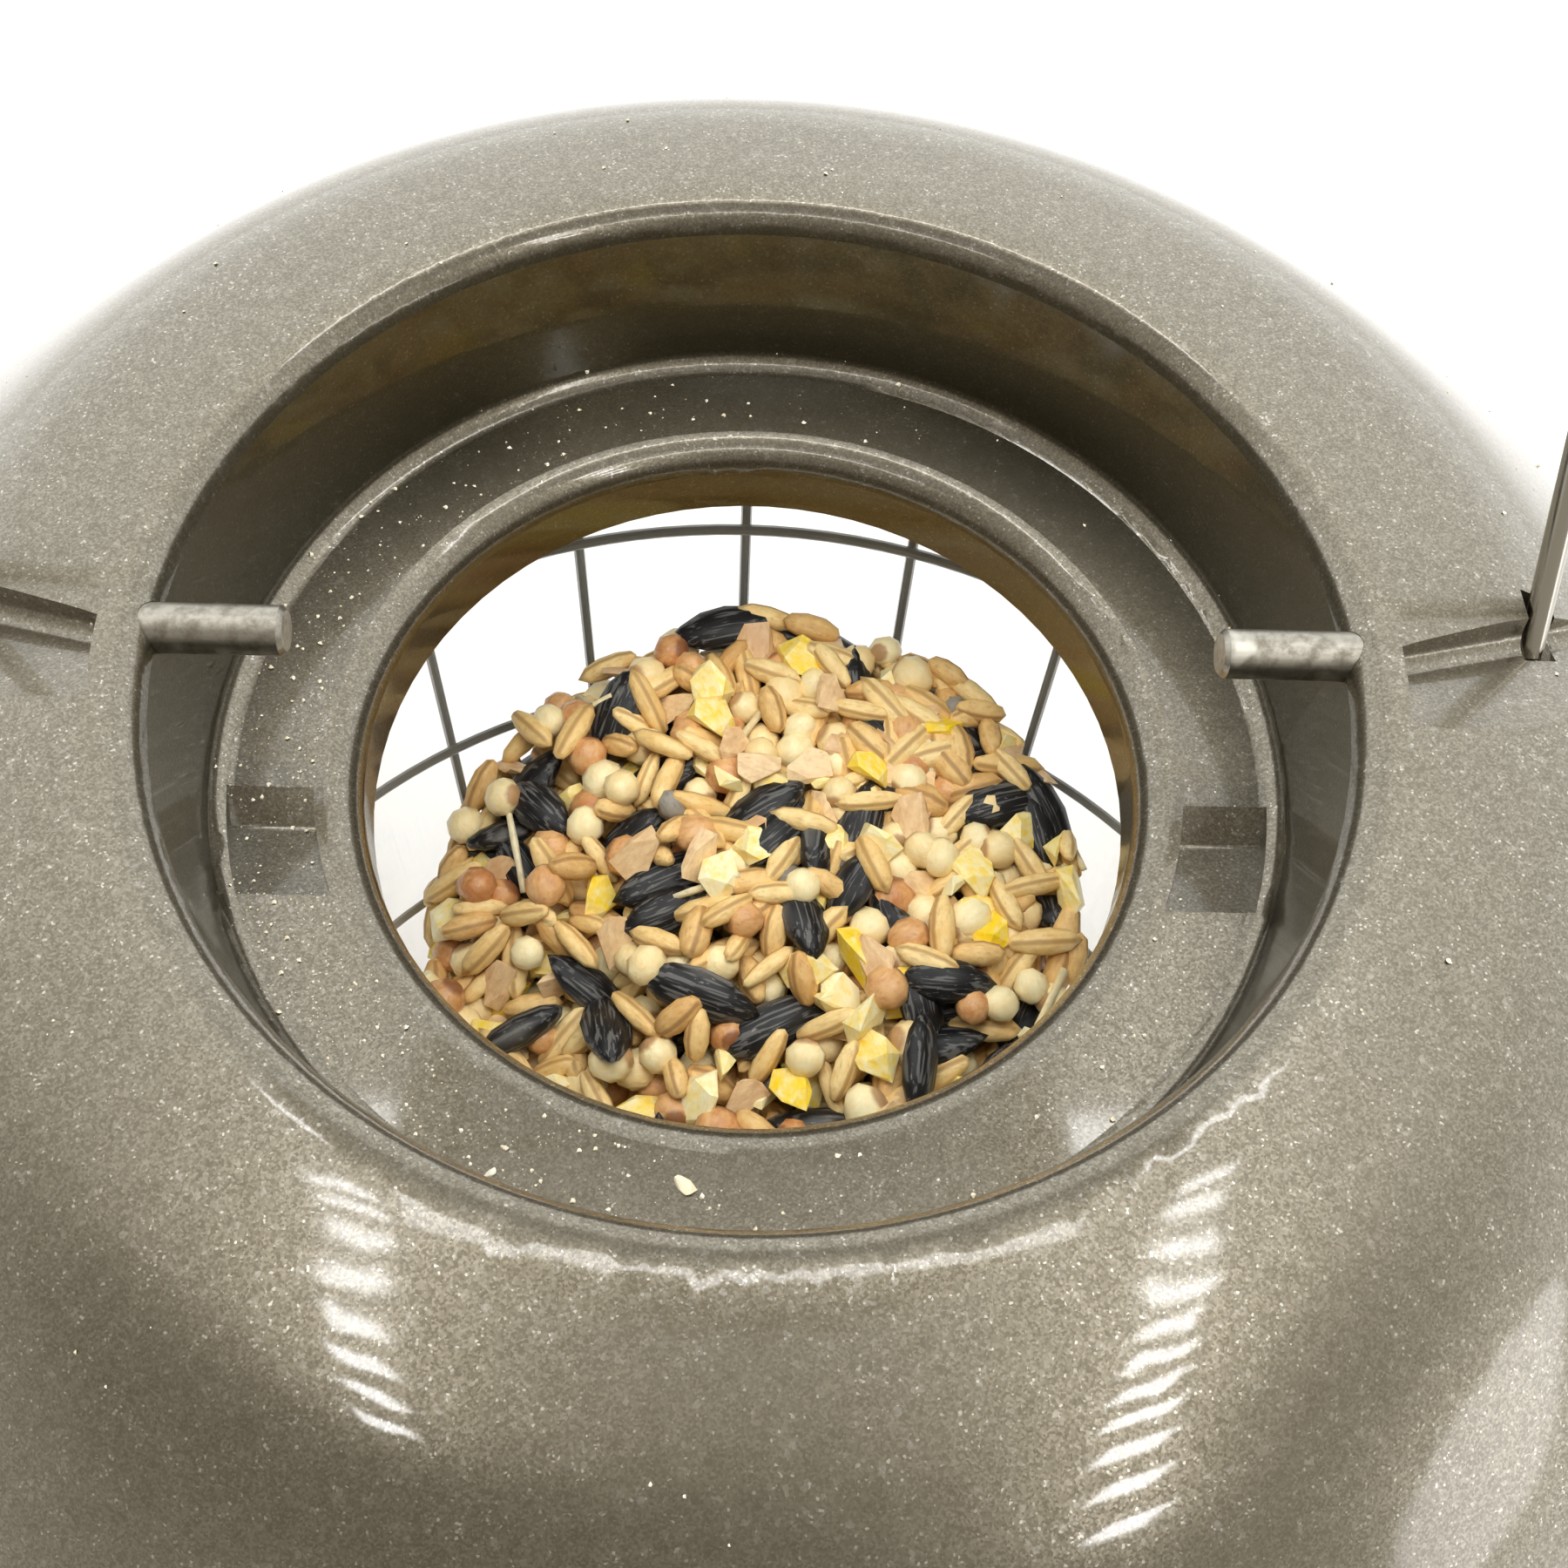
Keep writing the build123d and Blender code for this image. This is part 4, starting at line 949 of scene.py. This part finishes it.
class FEEDER_OT_dust(bpy.types.Operator):
    """Scatter specks of seed dust over the ledge and the roof"""

    bl_idname = "feeder.dust"
    bl_label = "Seed dust"

    def execute(self, context):
        amounts = context.scene.feeder_seeds
        draw = np.random.default_rng(amounts.seed + 1)
        roof = BVHTree.FromObject(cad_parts["dome_roof"], context.evaluated_depsgraph_get())
        finish = skin_finish("seed_dust", DUST_TONES, streaks=0.2)
        tree = planting_tree()
        rows = []
        for _ in range(amounts.dust):
            where = draw.uniform()
            around = draw.uniform(0, 2 * math.pi)
            below, near, far = next(zone for zone in DUST_ZONES if where < zone[0])
            out = draw.uniform(near, far)
            if below == LEDGE_SHARE:
                around = draw.normal(LEDGE_DUST_SIDE, 1.0)
            size = 0.18 + 0.62 * draw.uniform() ** 4
            self.lay(roof, rows, draw, out * math.cos(around), out * math.sin(around), (size,) * 3)
        plant("seed_dust", tree, chip_shape(draw, *SPECK, 8), finish, rows, False)
        rows = []
        for x, y, *sizes in CRUMBS:
            self.lay(roof, rows, draw, x, y, sizes)
        plant("seed_crumbs", tree, chip_shape(draw, 1.0, 1.0, 1.0, 18), finish, rows, False)
        bpy.data.node_groups.remove(tree)
        return {"FINISHED"}

    def lay(self, roof, rows, draw, x, y, sizes):
        """Adds a row for a speck that lies on the roof below this place."""
        start = Vector((x * MM, y * MM, RIM_CREST + 0.01))
        spot, normal, _, _ = roof.ray_cast(start, Vector((0, 0, -1)))
        if spot is None or normal.z < 0.1:
            return
        turn = facing_turn(normal, draw.uniform(0, 2 * math.pi), 0.0)
        rows.append((spot + normal * sizes[2] * 0.18 * MM, tuple(turn), tuple(sizes), draw.uniform()))


# The photograph's camera: place in millimetres from the middle of the rim's crease, its axes and its lens
CAMERA_PLACE = (-2.61, -91.83, 126.73)
CAMERA_RIGHT = (0.99918, 0.00077, 0.04052)
CAMERA_UP = (-0.02159, 0.85623, 0.51614)
CAMERA_AHEAD = (0.0343, 0.51659, -0.85555)
CAMERA_LENS = 38.56

# The lamps under the lid are just below its lowest face
UNDER_LID = 0.4276

# Lamps of the stage: name, place, point aimed at, size along and across, and radiance
LAMPS = (
    ("long_fixture", (0.05, 0.30, 1.3), (0.05, 0.30, 0), (0.75, 0.05), 10.0),
    ("side_window", (1.9, -0.95, 0.40), (0, 0, 0.3), (0.9, 0.30), 2.2),
    ("under_lid_far", (0, 0.022, UNDER_LID), (0, 0.022, 0), (0.088, 0.04), 0.45),
    ("under_lid_near", (0, -0.016, UNDER_LID), (0, -0.016, 0), (0.088, 0.03), 0.5),
    ("under_lid_line", (0, -0.034, UNDER_LID), (0, -0.034, 0), (0.10, 0.013), 7.0),
    ("seed_fill", (0, 0, UNDER_LID - 0.2 * MM), (0, 0, 0), (0.08, 0.08), 5.0),
)
ROUND_LAMP = "side_window"
UNREFLECTED_LAMP = "seed_fill"

# Ladder lights above the near side, the left one first: place across and along and size of each bar
LADDER_HEIGHT = 1.3
LADDER_RADIANCE = 17.0
LADDER_BARS = (
    (-0.317, 0.130, 0.07, 0.020), (-0.318, 0.088, 0.07, 0.020), (-0.326, 0.040, 0.07, 0.022),
    (-0.334, -0.012, 0.07, 0.024), (-0.345, -0.080, 0.075, 0.034), (-0.365, -0.175, 0.08, 0.045),
    (-0.395, -0.300, 0.08, 0.055), (-0.440, -0.450, 0.08, 0.06),
    (0.426, 0.122, 0.07, 0.020), (0.424, 0.078, 0.07, 0.020), (0.420, 0.030, 0.07, 0.022),
    (0.420, -0.022, 0.08, 0.026), (0.425, -0.085, 0.08, 0.034), (0.440, -0.165, 0.09, 0.045),
    (0.475, -0.275, 0.10, 0.06), (0.535, -0.425, 0.12, 0.08), (0.625, -0.640, 0.14, 0.10),
    (0.780, -0.950, 0.17, 0.14), (1.010, -1.380, 0.22, 0.20),
)


class FEEDER_OT_stage(bpy.types.Operator):
    """Make the floor, the lamps, the surroundings and the camera"""

    bl_idname = "feeder.stage"
    bl_label = "Stage"

    def execute(self, context):
        scene = context.scene
        scene.view_settings.view_transform = "Standard"
        self.camera(scene)
        self.floor()
        self.world(scene)
        for lamp in LAMPS:
            self.lamp(*lamp)
        for index, (x, y, along, across) in enumerate(LADDER_BARS):
            place = (x, y, LADDER_HEIGHT)
            self.lamp(f"ladder_bar_{index + 1}", place, (x, y, 0), (along, across), LADDER_RADIANCE)
        return {"FINISHED"}

    def camera(self, scene):
        """The photograph's place and lens."""
        data = bpy.data.cameras.new("camera")
        data.lens = CAMERA_LENS
        data.sensor_width = 36
        data.clip_start = 0.005
        data.clip_end = 30
        made = bpy.data.objects.new("camera", data)
        scene.collection.objects.link(made)
        turn = Matrix((CAMERA_RIGHT, CAMERA_UP, -Vector(CAMERA_AHEAD))).transposed().to_4x4()
        place = Vector((0, 0, RIM_CREASE)) + Vector(CAMERA_PLACE) * MM
        made.matrix_world = Matrix.Translation(place) @ turn
        scene.camera = made

    def floor(self):
        """A pale floor that reads white to the camera and still takes the feeder's shadow."""
        finish = Finish("pale_floor")
        pale = (0.86, 0.86, 0.855, 1)
        white = (1, 1, 1, 1)
        shade = finish.node("ShaderNodeBsdfDiffuse", {}, {"Color": pale, "Roughness": 0.5})
        glow = finish.node("ShaderNodeEmission", {}, {"Color": white, "Strength": 0.42})
        lifted = finish.node("ShaderNodeAddShader", {}, [shade, glow])
        seen = finish.rays("Camera", "Glossy", "Transmission")
        finish.end(finish.node("ShaderNodeMixShader", {}, [seen, shade, lifted]))
        half = 6.0
        corners = [(-half, -half, 0), (half, -half, 0), (half, half, 0), (-half, half, 0)]
        mesh_piece("floor", corners, [(0, 1, 2, 3)], finish.material, False)

    def world(self, scene):
        """White where it is seen; as a light, bright behind the feeder and dim above the camera."""
        warm = (1.0, 0.93, 0.80, 1)
        cool = (0.99, 1.0, 0.985, 1)
        white = (1, 1, 1, 1)
        room = Finish("plain_room", True)
        aside, ahead, height = (room.split(room.place, axis) for axis in "XYZ")
        far = (ahead + aside * 0.1 - height * 0.45).step(-0.8, 0.15)
        bright = far * 1.12 + 0.46
        seen = room.rays("Camera", "Transmission")
        colour = room.mix(seen, room.mix(far, warm, cool), white)
        strength = bright * (1 - seen) + seen
        scene.world = room.end(room.node("ShaderNodeBackground", {}, {"Color": colour, "Strength": strength}))

    def lamp(self, name, place, target, size, radiance):
        """A flat lamp aimed at a point, as bright as its radiance over its size."""
        data = bpy.data.lights.new(name, "AREA")
        data.shape = "ELLIPSE" if name == ROUND_LAMP else "RECTANGLE"
        data.size, data.size_y = size
        data.energy = radiance * math.pi * size[0] * size[1]
        made = bpy.data.objects.new(name, data)
        made.location = place
        made.rotation_euler = (Vector(target) - Vector(place)).to_track_quat("-Z", "Y").to_euler()
        made.visible_camera = False
        made.visible_glossy = name != UNREFLECTED_LAMP
        bpy.context.scene.collection.objects.link(made)


OPERATORS = (
    FEEDER_OT_roof, FEEDER_OT_metal, FEEDER_OT_plastic, FEEDER_OT_seed, FEEDER_OT_dust, FEEDER_OT_stage,
)


class FEEDER_PT_panel(bpy.types.Panel):
    """The feeder's operators and settings"""

    bl_label = "Feeder"
    bl_space_type = "VIEW_3D"
    bl_region_type = "UI"
    bl_category = "Feeder"

    def draw(self, context):
        for operator in OPERATORS:
            self.layout.operator(operator.bl_idname)
        for group in (context.scene.feeder_finishes, context.scene.feeder_seeds):
            for name in group.__annotations__:
                self.layout.prop(group, name)


CLASSES = (FeederFinishes, FeederSeeds, *OPERATORS, FEEDER_PT_panel)


def register():
    for cls in CLASSES:
        bpy.utils.register_class(cls)
    bpy.types.Scene.feeder_finishes = PointerProperty(type=FeederFinishes)
    bpy.types.Scene.feeder_seeds = PointerProperty(type=FeederSeeds)


def unregister():
    del bpy.types.Scene.feeder_finishes
    del bpy.types.Scene.feeder_seeds
    for cls in reversed(CLASSES):
        bpy.utils.unregister_class(cls)


def main():
    register()
    for operator in OPERATORS:
        group, name = operator.bl_idname.split(".")
        getattr(getattr(bpy.ops, group), name)()


if __name__ == "__main__":
    main()
